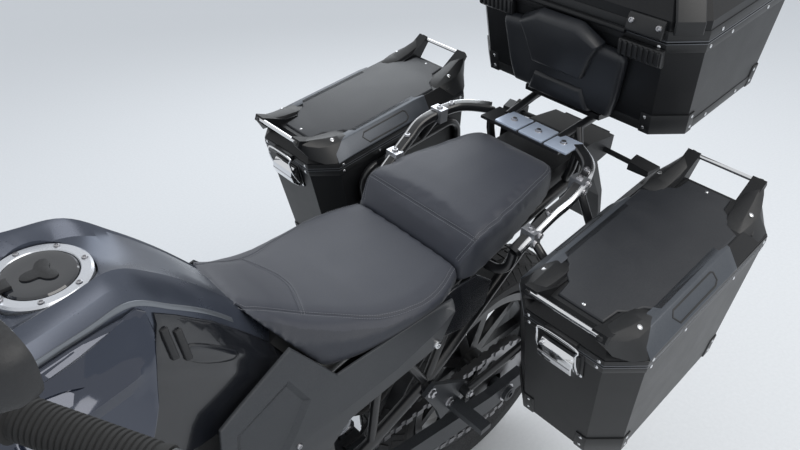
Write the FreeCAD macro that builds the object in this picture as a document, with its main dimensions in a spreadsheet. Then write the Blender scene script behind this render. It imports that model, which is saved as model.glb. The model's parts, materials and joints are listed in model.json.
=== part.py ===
import FreeCAD, Part
import math
import os

import Sketcher
from FreeCAD import Placement, Rotation, Vector

# An adventure motorcycle on its side stand, with two aluminium side cases and a top case.
# The bike frame has X forward, Y to the left and Z up, with the rear axle above X = 0.
# Everything is drawn upright in that frame, and the last step leans it onto its stand.

# name, value in mm or degrees, what it is
SIZES = [
    ("wheelbase", 1515, "rear axle to front axle"),
    ("rake_angle", 26, "steering axis from upright"),
    ("trail_length", 124, "ground trail"),
    ("lean_angle", 9, "lean to the left on the stand"),
    ("steer_angle", 13, "bars turned to the left at rest"),
    ("fit_gap", 0.3, "gap between seated pieces"),
    ("panel_wall", 5, "thickness of the body panels"),
    ("rear_tyre_height", 105, "tread over the bead seat"),
    ("rear_tyre_width", 150, "section width"),
    ("rear_crown_radius", 84, "radius across the tread"),
    ("rear_bead_radius", 216, "bead seat"),
    ("rear_rim_width", 112, "rim width over the flanges"),
    ("front_tyre_height", 88, "tread over the bead seat"),
    ("front_tyre_width", 110, "section width"),
    ("front_crown_radius", 59, "radius across the tread"),
    ("front_bead_radius", 241, "bead seat"),
    ("front_rim_width", 82, "rim width over the flanges"),
    ("tyre_facets", 60, "flats round a tyre"),
    ("rim_wall", 9, "rim thickness"),
    ("rim_flange", 12, "flange height over the bead seat"),
    ("flange_thick", 7, "flange thickness"),
    ("spoke_count", 10, "cast spokes"),
    ("spoke_thick", 22, "spoke depth across the wheel"),
    ("hub_radius", 42, "hub barrel"),
    ("front_hub_width", 104, "hub barrel across"),
    ("rear_hub_width", 150, "hub barrel across"),
    ("axle_radius", 11, "wheel spindles"),
    ("axle_bore", 7, "hollow of the wheel spindles"),
    ("disc_thick", 5, "brake discs"),
    ("disc_gap", 2, "caliper slot past the disc on each face"),
    ("front_disc_radius", 155, "front brake discs"),
    ("front_disc_inner", 118, "inside of the front disc band"),
    ("front_disc_place", 66, "front disc middle from the centre plane"),
    ("rear_disc_radius", 125, "rear brake disc"),
    ("rear_disc_inner", 92, "inside of the rear disc band"),
    ("rear_disc_place", 92, "rear disc middle from the centre plane"),
    ("carrier_radius", 56, "disc and sprocket carriers"),
    ("carrier_bore", 26, "hole through the carriers"),
    ("chain_pitch", 15.875, "roller pitch"),
    ("front_teeth", 17, "output sprocket"),
    ("rear_teeth", 47, "wheel sprocket"),
    ("chain_place", 92, "chain middle from the centre plane"),
    ("plate_height", 14, "link plate height"),
    ("plate_width", 22, "over the outer plates"),
    ("inner_width", 15, "over the inner plates"),
    ("sprocket_thick", 7, "sprocket plates"),
    ("output_x", 655, "output shaft"),
    ("output_z", 398, "output shaft"),
    ("pivot_x", 565, "swingarm pivot"),
    ("pivot_z", 402, "swingarm pivot"),
    ("pivot_radius", 21, "swingarm pivot tube"),
    ("arm_inner", 110, "inside of the swingarm beams"),
    ("arm_thick", 24, "swingarm beam across"),
    ("arm_height", 58, "swingarm beam height at the pivot"),
    ("nut_thick", 12, "spindle nuts"),
    ("plate_inner", 137, "inside of the pivot plates"),
    ("plate_thick", 14, "pivot plates"),
    ("head_low", 905, "bottom of the head tube"),
    ("head_high", 1050, "top of the head tube"),
    ("head_radius", 33, "head tube"),
    ("stem_radius", 17, "steering stem"),
    ("spar_radius", 20, "main frame tubes"),
    ("cradle_radius", 14, "cradle tubes"),
    ("rail_radius", 12, "rear frame tubes"),
    ("skid_height", 248, "underside of the cradle tubes"),
    ("shock_x", 520, "top eye of the shock"),
    ("shock_z", 604, "top eye of the shock"),
    ("eye_radius", 14, "shock eyes"),
    ("eye_half", 16, "half the width of the shock eyes"),
    ("spring_radius", 31, "middle of the coil"),
    ("wire_radius", 6, "spring wire"),
    ("spring_turns", 6.5, "coil turns"),
    ("low_yoke", 880, "lower yoke on the steering axis"),
    ("high_yoke", 1075, "upper yoke on the steering axis"),
    ("fork_spread", 105, "fork leg from the centre plane"),
    ("fork_radius", 27, "upper fork tubes"),
    ("slider_radius", 22, "lower fork tubes"),
    ("slider_top", 604, "joint of the upper and lower fork tubes"),
    ("bar_radius", 11, "handlebar tube"),
    ("bar_x", 1075, "handlebar middle"),
    ("bar_z", 1150, "handlebar middle"),
    ("bar_reach", 425, "bar end from the centre plane"),
    ("grip_radius", 17, "grips"),
    ("grip_length", 125, "grips"),
    ("riser_spread", 42, "bar risers from the centre plane"),
    ("case_length", 473, "side case, front to rear"),
    ("case_width", 242, "side case across"),
    ("case_depth", 290, "side case under the seam"),
    ("case_lid_height", 42, "side case lid above the seam"),
    ("case_corner", 46, "side case corner cut"),
    ("case_draft", 33, "how far the case ends lean in"),
    ("case_side_draft", 15, "how far the outer side leans in"),
    ("case_wall", 4, "walls of the cases"),
    ("case_x", 12, "side case middle"),
    ("case_y", 361, "side case middle"),
    ("case_z", 872, "side case seam"),
    ("case_pitch", 7, "side case nose down"),
    ("rod_radius", 4, "lashing rods on the lids"),
    ("rack_radius", 9, "case carrier tubes"),
    ("top_length", 430, "top case, front to rear"),
    ("top_width", 520, "top case across"),
    ("top_depth", 205, "top case under the seam"),
    ("top_lid_height", 104, "top case lid above the seam"),
    ("top_corner", 50, "top case corner cut"),
    ("top_x", -170, "front of the top case seam"),
    ("top_z", 1176, "front of the top case seam"),
    ("top_pitch", 6, "top case nose down"),
    ("plate_depth", 12, "mounting plate under the top case"),
    ("lid_gap", 0.8, "gap at the case seams and round the filler cap"),
    ("seat_split", 241, "front of the pillion seat"),
    ("joint_x", 551, "seat and tank joint, a point"),
    ("joint_z", 818, "seat and tank joint, a point"),
    ("joint_slope", 54.5, "seat and tank joint from level"),
    ("cap_x", 850, "filler middle"),
    ("cap_z", 1083, "filler ring top"),
    ("cap_radius", 44, "filler cap"),
    ("cap_thick", 10, "filler cap"),
    ("ring_radius", 60, "filler ring"),
    ("neck_radius", 24, "filler neck"),
    ("neck_depth", 70, "filler neck under the ring top"),
    ("stand_x", 640, "side stand pivot"),
    ("stand_y", 178, "side stand pivot"),
    ("stand_z", 330, "side stand pivot"),
    ("stand_foot_x", 780, "stand foot, ahead of the rear axle on the ground"),
    ("stand_foot_y", 330, "stand foot, to the left of the tyre contact"),
    ("stand_radius", 13, "stand leg"),
    ("knuckle_radius", 20, "stand knuckle"),
    ("knuckle_half", 15, "half the width of the stand knuckle"),
    ("pin_radius", 8, "stand pivot pin"),
    ("foot_radius", 34, "stand foot plate"),
    ("foot_thick", 8, "stand foot plate"),
]

NODES = {}


class Size(float):
    """A sheet value that also knows its own expression."""

    def __new__(cls, value, text):
        self = super().__new__(cls, value)
        self.text = text
        return self

    def __add__(self, other):
        return Size(float(self) + float(other), f"({self.text} + {text_of(other)})")

    def __radd__(self, other):
        return Size(float(other) + float(self), f"({text_of(other)} + {self.text})")

    def __sub__(self, other):
        return Size(float(self) - float(other), f"({self.text} - {text_of(other)})")

    def __rsub__(self, other):
        return Size(float(other) - float(self), f"({text_of(other)} - {self.text})")

    def __mul__(self, other):
        return Size(float(self) * float(other), f"({self.text} * {text_of(other)})")

    __rmul__ = __mul__

    def __truediv__(self, other):
        return Size(float(self) / float(other), f"({self.text} / {text_of(other)})")

    def __neg__(self):
        return Size(-float(self), f"(-{self.text})")


def text_of(value):
    return value.text if isinstance(value, Size) else repr(float(value))


class Sheet:
    """The driving sizes, read by name."""

    def __init__(self, doc):
        self.sheet = doc.addObject("Spreadsheet::Sheet", "Sizes")
        for row, (name, value, note) in enumerate(SIZES, 1):
            self.sheet.set(f"A{row}", name)
            self.sheet.set(f"B{row}", str(value))
            self.sheet.set(f"C{row}", note)
            self.sheet.setAlias(f"B{row}", name)
        doc.recompute()
        for name, _, _ in SIZES:
            setattr(self, name, Size(float(self.sheet.get(name)), f"Sizes.{name}"))


doc = FreeCAD.newDocument("Motorcycle")
S = Sheet(doc)
GAP = float(S.fit_gap)


def vec(x, y, z):
    return Vector(float(x), float(y), float(z))


ALONG = vec(1, 0, 0)
LEFT = vec(0, 1, 0)
UP = vec(0, 0, 1)


# Where the axles and the steering axis are
RAKE = math.radians(S.rake_angle)
STEER_UP = vec(-math.sin(RAKE), 0, math.cos(RAKE))
STEER_AHEAD = vec(math.cos(RAKE), 0, math.sin(RAKE))


def axis_point(z):
    """The point of the steering axis at a height."""
    return vec(S.wheelbase + S.trail_length - z * math.tan(RAKE), 0, z)


REAR_RADIUS = S.rear_bead_radius + S.rear_tyre_height
FRONT_RADIUS = S.front_bead_radius + S.front_tyre_height
FRONT_AXLE = vec(S.wheelbase, 0, FRONT_RADIUS)
REAR_AXLE = vec(0, 0, REAR_RADIUS)
FORK_OFFSET = (FRONT_AXLE - axis_point(FRONT_AXLE.z)).dot(STEER_AHEAD)


def fork_point(z, side=1):
    """The middle of a fork leg level with a point of the steering axis."""
    return axis_point(z) + STEER_AHEAD * FORK_OFFSET + LEFT * (side * S.fork_spread)


STEER_TURN = Placement(Vector(), Rotation(STEER_UP, S.steer_angle), axis_point(S.high_yoke))


def tread_points(outer, crown, width, bead, rim_width):
    """Half outline of a tyre, as (radius, place along the axle), from the tread to the bead."""
    half = width / 2
    seat = rim_width / 2 - S.flange_thick

    def fall(share):
        y = float(half) * share
        return float(crown) - math.sqrt(float(crown) ** 2 - y * y)

    return [
        (outer - fall(0.3), half * 0.3),
        (outer - fall(0.68), half * 0.68),
        (outer - 46, half),
        (bead + 36, half * 0.97),
        (bead + S.rim_flange + 2, seat - GAP),
        (bead + 2 * GAP, seat - 2 - GAP),
    ]


REAR_TREAD = tread_points(
    REAR_RADIUS, S.rear_crown_radius, S.rear_tyre_width, S.rear_bead_radius, S.rear_rim_width
)
FRONT_TREAD = tread_points(
    FRONT_RADIUS, S.front_crown_radius, S.front_tyre_width, S.front_bead_radius, S.front_rim_width
)


def lowest(place, axle, points):
    """How low a leaning tyre reaches."""
    tilt = place.Rotation.multVec(LEFT).z
    flat = math.sqrt(1 - tilt * tilt)
    return place.multVec(axle).z + min(-r * flat - abs(y * tilt) for r, y in points)


def stance():
    """Leans the bike and sets both tyres on the ground."""
    place = Placement(Vector(), Rotation(ALONG, -S.lean_angle))
    for _ in range(12):
        rear = lowest(place, REAR_AXLE, REAR_TREAD)
        front = lowest(place.multiply(STEER_TURN), FRONT_AXLE, FRONT_TREAD)
        pitch = math.degrees(math.atan2(front - rear, S.wheelbase))
        turn = Placement(vec(0, 0, -rear), Rotation(LEFT, pitch))
        place = turn.multiply(place)
    return place


STANCE = stance()
STEERED = STANCE.multiply(STEER_TURN)


# Sketches and features
def new_body(name):
    body = doc.addObject("PartDesign::Body", name)
    body.Label = name
    NODES[name] = body
    return body


def origin_of(body, role):
    return next(o for o in body.Origin.OriginFeatures if o.Role == role)


def bind(thing, prop, value):
    if isinstance(value, Size):
        thing.setExpression(prop, value.text)
    else:
        setattr(thing, prop, value)


def outline(body, name, plane, points):
    """A closed sketch of straight lines whose corners are tied to the sheet."""
    sketch = body.newObject("Sketcher::SketchObject", name)
    sketch.AttachmentSupport = [(origin_of(body, plane), "")]
    sketch.MapMode = "FlatFace"
    corners = [vec(x, y, 0) for x, y in points]
    after = corners[1:] + corners[:1]
    sketch.addGeometry([Part.LineSegment(a, b) for a, b in zip(corners, after)], False)
    for i, point in enumerate(points):
        sketch.addConstraint(Sketcher.Constraint("Coincident", i, 2, (i + 1) % len(points), 1))
        for kind, value in zip(("DistanceX", "DistanceY"), point):
            number = sketch.addConstraint(Sketcher.Constraint(kind, -1, 1, i, 1, float(value)))
            bind_constraint(sketch, number, value)
    return sketch


def bind_constraint(sketch, number, value):
    if isinstance(value, Size):
        sketch.setExpression(f"Constraints[{number}]", value.text)


def revolve(body, name, points):
    """Turns an outline of (radius, place along the axle) about Y."""
    feature = body.newObject("PartDesign::Revolution", name)
    feature.Profile = outline(body, name + "_outline", "XY_Plane", points)
    feature.ReferenceAxis = (feature.Profile[0], ["V_Axis"])
    feature.Angle = 360
    return feature


def pad(body, name, points, width):
    """Pads an outline of (x, z) evenly to both sides of the centre plane."""
    feature = body.newObject("PartDesign::Pad", name)
    feature.Profile = outline(body, name + "_outline", "XZ_Plane", points)
    bind(feature, "Length", width)
    feature.Midplane = True
    return feature


def around(body, name, feature, count):
    """Repeats a feature about the axle."""
    pattern = body.newObject("PartDesign::PolarPattern", name)
    pattern.Originals = [feature]
    pattern.Axis = (origin_of(body, "Y_Axis"), [""])
    pattern.Angle = 360
    bind(pattern, "Occurrences", count)
    body.Tip = pattern
    return pattern


# Shapes
def bent_path(points, radius):
    """Straight runs joined by tangent arcs."""
    pts = [vec(*p) for p in points]
    edges = []
    start = pts[0]
    for before, corner, after in zip(pts, pts[1:], pts[2:]):
        a = before - corner
        b = after - corner
        reach = 0.45 * min(a.Length, b.Length)
        a.normalize()
        b.normalize()
        half = a.getAngle(b) / 2
        back = min(radius / math.tan(half), reach)
        arc_radius = back * math.tan(half)
        middle = a + b
        middle.normalize()
        centre = corner + middle * (arc_radius / math.sin(half))
        first = corner + a * back
        last = corner + b * back
        edges.append(Part.LineSegment(start, first).toShape())
        edges.append(Part.Arc(first, centre - middle * arc_radius, last).toShape())
        start = last
    edges.append(Part.LineSegment(start, pts[-1]).toShape())
    return Part.Wire(edges)


def tube(points, radius, bend=60.0):
    path = bent_path(points, bend)
    start = path.Edges[0]
    ring = Part.makeCircle(float(radius), start.valueAt(0), start.tangentAt(0))
    return path.makePipeShell([Part.Wire(ring)], True, False)


def rod(a, b, radius):
    line = vec(*b) - vec(*a)
    return Part.makeCylinder(float(radius), line.Length, vec(*a), line)


def mirror(shape):
    return shape.mirror(Vector(), LEFT)


def both(shape):
    """A shape and its mirror image on the other side."""
    return [shape, mirror(shape)]


def polygon(points):
    pts = [vec(*p) for p in points]
    return Part.makePolygon(pts + [pts[0]])


def slab_y(points, low, high):
    """An outline of (x, z) between two places across the bike."""
    face = Part.Face(polygon([(x, low, z) for x, z in points]))
    return face.extrude(vec(0, high - low, 0))


def slab_z(points, low, high):
    """An outline of (x, y) between two heights."""
    face = Part.Face(polygon([(x, y, low) for x, y in points]))
    return face.extrude(vec(0, 0, high - low))


def slab_x(points, low, high):
    """An outline of (y, z) between two places along the bike."""
    face = Part.Face(polygon([(low, y, z) for y, z in points]))
    return face.extrude(vec(high - low, 0, 0))


def box(low, high):
    return Part.makeBox(*[float(b - a) for a, b in zip(low, high)], vec(*low))


def loft(sections, closed=False):
    """A ruled solid through sections that have the same number of corners."""
    return Part.makeLoft([polygon(s) for s in sections], True, True, closed)


def skin(rings, closed=False):
    """A solid with flat faces between rings that have the same number of corners."""
    points = [[vec(*p) for p in ring] for ring in rings]
    pairs = list(zip(points, points[1:] + points[:1])) if closed else list(zip(points, points[1:]))
    faces = []
    for ring, after in pairs:
        for a, b, c, d in zip(ring, after, after[1:] + after[:1], ring[1:] + ring[:1]):
            corners = [[a, b, c, d]] if closed else [[a, b, c], [a, c, d]]
            faces += [Part.Face(Part.makePolygon(loop + loop[:1])) for loop in corners]
    if not closed:
        faces += [Part.Face(Part.makePolygon(ring + ring[:1])) for ring in (points[0], points[-1])]
    shell = Part.makeShell(faces)
    shell.sewShape()
    solid = Part.Solid(shell)
    solid.fix(0.01, 0.01, 0.01)
    return solid


def fuse(shapes):
    shapes = list(shapes)
    return shapes[0].multiFuse(shapes[1:]).removeSplitter()


def group(shapes):
    """Several solids that don't touch, in one node."""
    return Part.makeCompound([solid for shape in shapes for solid in shape.Solids])


def keep(name, shape):
    """Stores a shape as a sub-part of the document."""
    feature = doc.addObject("Part::Feature", name)
    feature.Label = name
    feature.Shape = shape
    NODES[name] = feature
    return feature


def turned(shape, pivot, axis, angle):
    copy = shape.copy()
    copy.rotate(vec(*pivot), vec(*axis), float(angle))
    return copy


def polar(centre, radius, angle):
    """A point (x, z) round a centre, with the angle from straight ahead, upwards."""
    turn = math.radians(angle)
    return (centre.x + radius * math.cos(turn), centre.z + radius * math.sin(turn))


def arc_band(centre, inner, outer, start, end, steps):
    """Outline (x, z) of a band round a centre."""
    angles = [start + (end - start) * i / steps for i in range(steps + 1)]
    return [polar(centre, outer, a) for a in angles] + [polar(centre, inner, a) for a in reversed(angles)]


# Wheels
def wheel(name, bead, rim_width, hub_width, spoke_root):
    """Cast rim with its hub and spokes."""
    body = new_body(name)
    half = rim_width / 2
    seat = half - S.flange_thick
    flange = bead + S.rim_flange
    under = bead - S.rim_wall
    well = under - 8
    revolve(
        body,
        "rim",
        [
            (well, -half * 0.35),
            (under, -half),
            (flange, -half),
            (flange, -seat),
            (bead, -seat + 2),
            (bead, seat - 2),
            (flange, seat),
            (flange, half),
            (under, half),
            (well, half * 0.35),
        ],
    )
    bore = S.axle_radius + S.fit_gap
    side = hub_width / 2
    revolve(body, "hub", [(bore, -side), (S.hub_radius, -side), (S.hub_radius, side), (bore, side)])
    root = S.hub_radius - 5
    tip = well + 4
    spoke = pad(
        body,
        "spoke",
        [(root, -spoke_root), (tip, -spoke_root * 0.55), (tip, spoke_root * 0.55), (root, spoke_root)],
        S.spoke_thick,
    )
    around(body, "spokes", spoke, S.spoke_count)


def tyre(name, half_outline):
    """Casing of plain rubber in straight flats round the wheel; the tread is cut elsewhere."""
    outline_points = [(r, -y) for r, y in reversed(half_outline)] + half_outline
    count = int(S.tyre_facets)
    rings = []
    for i in range(count):
        turn = 2 * math.pi * i / count
        rings.append([(r * math.cos(turn), y, r * math.sin(turn)) for r, y in outline_points])
    keep(name, skin(rings, closed=True))


def brake_disc(outer, inner, place, hub_end):
    """One disc band on a five-armed carrier, on the left side."""
    low = place - S.disc_thick / 2
    high = place + S.disc_thick / 2
    band = rod((0, low, 0), (0, high, 0), outer).cut(rod((0, low, 0), (0, high, 0), inner))
    carrier = rod((0, hub_end, 0), (0, high, 0), S.carrier_radius)
    arm = box((S.hub_radius, low, -9), (inner + 6, high, 9))
    arms = [turned(arm, (0, 0, 0), LEFT, 72 * i) for i in range(5)]
    return fuse([band, carrier] + arms).cut(rod((0, 0, 0), (0, high + 1, 0), S.carrier_bore))


def wheels():
    wheel("rear_wheel", S.rear_bead_radius, S.rear_rim_width, S.rear_hub_width, 16.0)
    tyre("rear_tyre", REAR_TREAD)
    wheel("front_wheel", S.front_bead_radius, S.front_rim_width, S.front_hub_width, 15.0)
    tyre("front_tyre", FRONT_TREAD)
    front = brake_disc(
        S.front_disc_radius, S.front_disc_inner, S.front_disc_place, S.front_hub_width / 2
    )
    keep("front_discs", group(both(front)))
    rear = brake_disc(S.rear_disc_radius, S.rear_disc_inner, S.rear_disc_place, S.rear_hub_width / 2)
    keep("rear_disc", mirror(rear))


# Chain drive
def pitch_radius(teeth):
    return float(S.chain_pitch) / (2 * math.sin(math.pi / teeth))


def sprocket(teeth, centre, inner_face, collar_radius):
    """Toothed plate with a collar; its tips run just inside the chain."""
    tip = pitch_radius(teeth) - S.plate_height / 2 - 2 * GAP
    root = tip - 4
    shares = ((0.0, root), (0.3, root), (0.5, tip), (0.7, tip))
    points = [polar(centre, r, 360 * (i + share) / teeth) for i in range(int(teeth)) for share, r in shares]
    low = S.chain_place - S.sprocket_thick / 2
    plate = slab_y(points, low, low + S.sprocket_thick)
    collar = rod((centre.x, inner_face, centre.z), (centre.x, low + 1, centre.z), collar_radius)
    return fuse([plate, collar])


def rear_sprocket():
    """Wheel sprocket with round windows between its five arms."""
    solid = sprocket(S.rear_teeth, REAR_AXLE, S.rear_hub_width / 2, S.carrier_radius)
    holes = [rod(REAR_AXLE, REAR_AXLE + LEFT * 200, S.carrier_bore)]
    middle = (S.carrier_radius + pitch_radius(S.rear_teeth)) / 2 - 6
    for i in range(5):
        x, z = polar(REAR_AXLE, middle, 72 * i)
        holes.append(rod((x, 0, z), (x, 200, z), 15))
    keep("rear_sprocket", solid.cut(fuse(holes)))


def chain_stations():
    """Link middles and headings along the two runs and round both sprockets."""
    front = vec(S.output_x, 0, S.output_z)
    small = pitch_radius(S.front_teeth)
    large = pitch_radius(S.rear_teeth)
    line = front - REAR_AXLE
    base = math.atan2(line.z, line.x)
    spread = math.acos((large - small) / line.Length)
    run = math.sqrt(line.Length**2 - (large - small) ** 2)
    # centre, radius and first angle of each stretch, how far it turns, and its length
    stretches = [
        (REAR_AXLE, large, base + spread, 0, run),
        (front, small, base + spread, -2 * spread, 2 * spread * small),
        (front, small, base - spread, 0, run),
        (REAR_AXLE, large, base - spread, 2 * spread - 2 * math.pi, 2 * (math.pi - spread) * large),
    ]
    count = 2 * round(sum(s[4] for s in stretches) / S.chain_pitch / 2)
    step = sum(s[4] for s in stretches) / count
    stations = []
    passed = 0.0
    for centre, radius, first, turn, length in stretches:
        while len(stations) * step < passed + length and len(stations) < count:
            along = len(stations) * step - passed
            angle = first + turn * along / length
            ahead = vec(math.sin(angle), 0, -math.cos(angle))
            point = centre + vec(math.cos(angle), 0, math.sin(angle)) * radius
            stations.append((point if turn else point + ahead * along, ahead))
        passed += length
    return stations, step


def chain():
    """Plate pairs turn about wide and narrow."""
    stations, step = chain_stations()
    half = S.plate_height / 2
    links = []
    for i, (point, ahead) in enumerate(stations):
        side = (S.plate_width if i % 2 else S.inner_width) / 2
        reach = 0.56 * step
        link = box((-reach, S.chain_place - side, -half), (reach, S.chain_place + side, half))
        link.Placement = Placement(point, Rotation(ALONG, ahead)).multiply(link.Placement)
        links.append(link)
    keep("chain", links[0].multiFuse(links[1:]))


# Frame
HEAD_X = axis_point(S.head_low).x


def spar_tube(extra=0.0):
    points = [
        (HEAD_X - 28, 22, 950),
        (HEAD_X - 142, 92, 902),
        (850, S.plate_inner + 3, 770),
        (690, S.plate_inner + 3, 655),
        (600, S.plate_inner + 3, 560),
    ]
    return tube(points, S.spar_radius + extra, 90)


def cradle_tube(extra=0.0):
    low = S.skid_height + S.cradle_radius
    points = [
        (HEAD_X - 14, 14, 925),
        (HEAD_X - 178, 66, 800),
        (957, 84, 640),
        (957, 84, low + 70),
        (925, 86, low),
        (650, 112, low),
        (600, S.plate_inner + 6, 340),
    ]
    return tube(points, S.cradle_radius + extra, 60)


def frame():
    """Tubular main frame with its pivot plates, steering head and stand boss."""
    low = axis_point(S.head_low)
    high = axis_point(S.head_high)
    stem = S.stem_radius + S.fit_gap
    inner = float(S.plate_inner)
    outer = inner + S.plate_thick
    plate = [
        (552, 318),
        (600, 284),
        (662, 284),
        (664, 330),
        (650, 380),
        (655, 520),
        (655, 690),
        (605, 690),
        (540, 636),
        (536, 580),
        (522, 470),
        (525, 370),
    ]
    eye = (S.shock_x, S.shock_z)
    ear = [
        (eye[0] - 14, eye[1] - 8),
        (eye[0], eye[1] - 16),
        (eye[0] + 55, eye[1] - 12),
        (eye[0] + 55, eye[1] + 20),
        (eye[0], eye[1] + 16),
        (eye[0] - 14, eye[1] + 8),
    ]
    ear_inner = S.eye_half + S.fit_gap
    shock_tube = rod((560, -inner - 1, 608), (560, inner + 1, 608), 14)
    low_tube = rod((600, -inner - 1, 312), (600, inner + 1, 312), 13)
    shock_pin = rod((eye[0], -ear_inner - 8, eye[1]), (eye[0], ear_inner + 8, eye[1]), 6)
    stay = [(HEAD_X - 18, 950), (NOSE_WALL, 962), (NOSE_WALL, 990), (HEAD_X - 33, 990)]
    knuckle, _, _, hinge = stand_motion()
    seat = S.knuckle_half + S.fit_gap
    boss = rod(knuckle - hinge * (seat + 38), knuckle - hinge * seat, 18)
    pin = rod(knuckle - hinge * (seat + 5), knuckle + hinge * (seat + 8), S.pin_radius)
    pin_head = rod(knuckle + hinge * seat, knuckle + hinge * (seat + 8), 13)
    solid = fuse(
        [rod(low, high, S.head_radius), shock_tube, low_tube, shock_pin, boss, pin, pin_head]
        + [slab_y(stay, -16, 16)]
        + both(spar_tube())
        + both(cradle_tube())
        + both(slab_y(plate, inner, outer))
        + both(slab_y(ear, ear_inner, ear_inner + 8))
    )
    bearing = rod(low + STEER_UP * 14, high - STEER_UP * 14, stem + 5)
    bore = rod(low - STEER_UP * 40, high + STEER_UP * 40, stem)
    keep("frame", solid.cut(fuse([bearing, bore])))


def rail_height(x):
    """Middle of the upper rear rails, which rise to the tail."""
    return 760 + 0.16 * (400 - x)


def seat_floor(x):
    """Underside of the seats, just over the rails."""
    return rail_height(x) + (S.rail_radius + S.fit_gap) * 1.0128


def upper_rail(extra=0.0):
    points = [(622, RAIL_MOUNT, 662), (510, 119, rail_height(510)), (-210, 95.7, rail_height(-210))]
    return tube(points, S.rail_radius + extra, 60)


RAIL_MOUNT = float(S.plate_inner - S.fit_gap - 14)
HANGER_FACE = float(S.plate_inner + S.plate_thick + S.fit_gap + 1)


def rear_frame():
    """Bolted trellis that carries the seat and the luggage."""
    face = float(S.plate_inner - S.fit_gap)
    eyes = [rod((x, face - 26, z), (x, face, z), 15) for x, z in ((622, 662), (556, 458))]
    lower = tube(
        [(556, RAIL_MOUNT, 458), (436, 130, 519), (304, 136, 593), (-60, 108, rail_height(-60) - 24)],
        S.rail_radius,
        60,
    )
    # front end and rear end of each strut
    ends = [
        ((436, 130, 519), (400, 115, rail_height(400))),
        ((304, 136, 593), (400, 115, rail_height(400))),
        ((304, 136, 593), (170, 108, rail_height(170))),
    ]
    struts = [rod(a, b, S.rail_radius - 3) for a, b in ends]
    boss = rod((312, 132, 590), (312, HANGER_FACE - S.fit_gap, 590), 10)
    half = eyes + [upper_rail(), lower, boss] + struts
    crosses = [cross_tube(x, y) for x, y in ((420, 112), (120, 105), (TAIL_CROSS, 96))]
    keep("rear_frame", fuse([s for shape in half for s in both(shape)] + crosses))


TAIL_CROSS = -180.0


def cross_tube(x, y, extra=0.0):
    z = rail_height(x)
    return rod((x, -y, z), (x, y, z), S.rail_radius - 2 + extra)


def swingarm():
    """Two beams with a brace, the hollow spindle and its nuts."""
    inner = float(S.arm_inner)
    outer = inner + S.arm_thick
    tall = S.arm_height / 2
    x, z = S.pivot_x, S.pivot_z
    axle = REAR_AXLE.z
    beam = [
        (x + 24, z + tall * 0.7),
        (x + 24, z - tall * 0.7),
        (x - 145, z - 18 - tall),
        (60, axle - 26),
        (-62, axle - 24),
        (-66, axle + 24),
        (60, axle + 28),
        (x - 145, z - 18 + tall),
    ]
    end = S.plate_inner - S.fit_gap
    pivot = rod((x, -end, z), (x, end, z), S.pivot_radius)
    brace = slab_y([(372, 348), (440, 352), (470, 380), (440, 404), (378, 404)], -inner - 2, inner + 2)
    lug = [(384, 398), (424, 398), (420, 434), (403, 442), (386, 434)]
    ear_inner = S.eye_half + S.fit_gap
    ears = both(slab_y(lug, ear_inner, ear_inner + 8))
    eye_reach = LEFT * (ear_inner + 8)
    eye_pin = rod(SHOCK_FOOT - eye_reach, SHOCK_FOOT + eye_reach, 6)
    half = rear_spindle_half()
    spindle = rod((0, -half, axle), (0, half, axle), S.axle_radius)
    nuts = [rod((0, outer, axle), (0, outer + S.nut_thick, axle), 19)]
    hub_end = S.rear_hub_width / 2 + S.fit_gap
    nuts.append(rod((0, hub_end, axle), (0, inner + 1, axle), 16))
    beams = both(slab_y(beam, inner, outer))
    solid = fuse(beams + [pivot, brace, eye_pin, spindle] + ears + both(fuse(nuts)))
    keep("swingarm", solid.cut(rod((0, -200, axle), (0, 200, axle), S.axle_bore)))


SHOCK_FOOT = vec(403, 0, 425)


def shock():
    """Rear damper with its coil spring."""
    top = vec(S.shock_x, 0, S.shock_z)
    along = top - SHOCK_FOOT
    length = along.Length
    along.normalize()
    half = S.eye_half
    eyes = [
        rod(p - LEFT * half, p + LEFT * half, S.eye_radius).cut(rod(p - LEFT * 30, p + LEFT * 30, 6 + S.fit_gap))
        for p in (top, SHOCK_FOOT)
    ]
    shaft = rod(SHOCK_FOOT + along * 10, top - along * 60, 8)
    can = rod(top - along * 100, top - along * 18, 21)
    neck = rod(top - along * 24, top - along * 8, 12)
    cup = S.spring_radius + S.wire_radius
    cups = [
        rod(top - along * 38, top - along * 30, cup),
        rod(SHOCK_FOOT + along * 24, SHOCK_FOOT + along * 32, cup),
    ]
    spring = coil(S.spring_radius, S.wire_radius, length - 64, S.spring_turns)
    spring.Placement = Placement(SHOCK_FOOT + along * 29, Rotation(UP, along))
    keep("rear_shock", fuse(eyes + [shaft, can, neck, spring] + cups))


def coil(radius, wire, height, turns):
    """A spring with a six-sided wire, in straight stretches."""
    rings = []
    count = round(turns * 14)
    for i in range(count + 1):
        turn = 2 * math.pi * turns * i / count
        ring = []
        for corner in range(6):
            side = math.pi * corner / 3
            out = radius + wire * math.cos(side)
            lift = wire + (height - 2 * wire) * i / count + wire * math.sin(side)
            ring.append((out * math.cos(turn), out * math.sin(turn), lift))
        rings.append(ring)
    return skin(rings)


# Engine and what hangs on it
PORT = vec(938, 46, 668.6)
PORT_OUT = vec(0.9526, 0, -0.3042)


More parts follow.
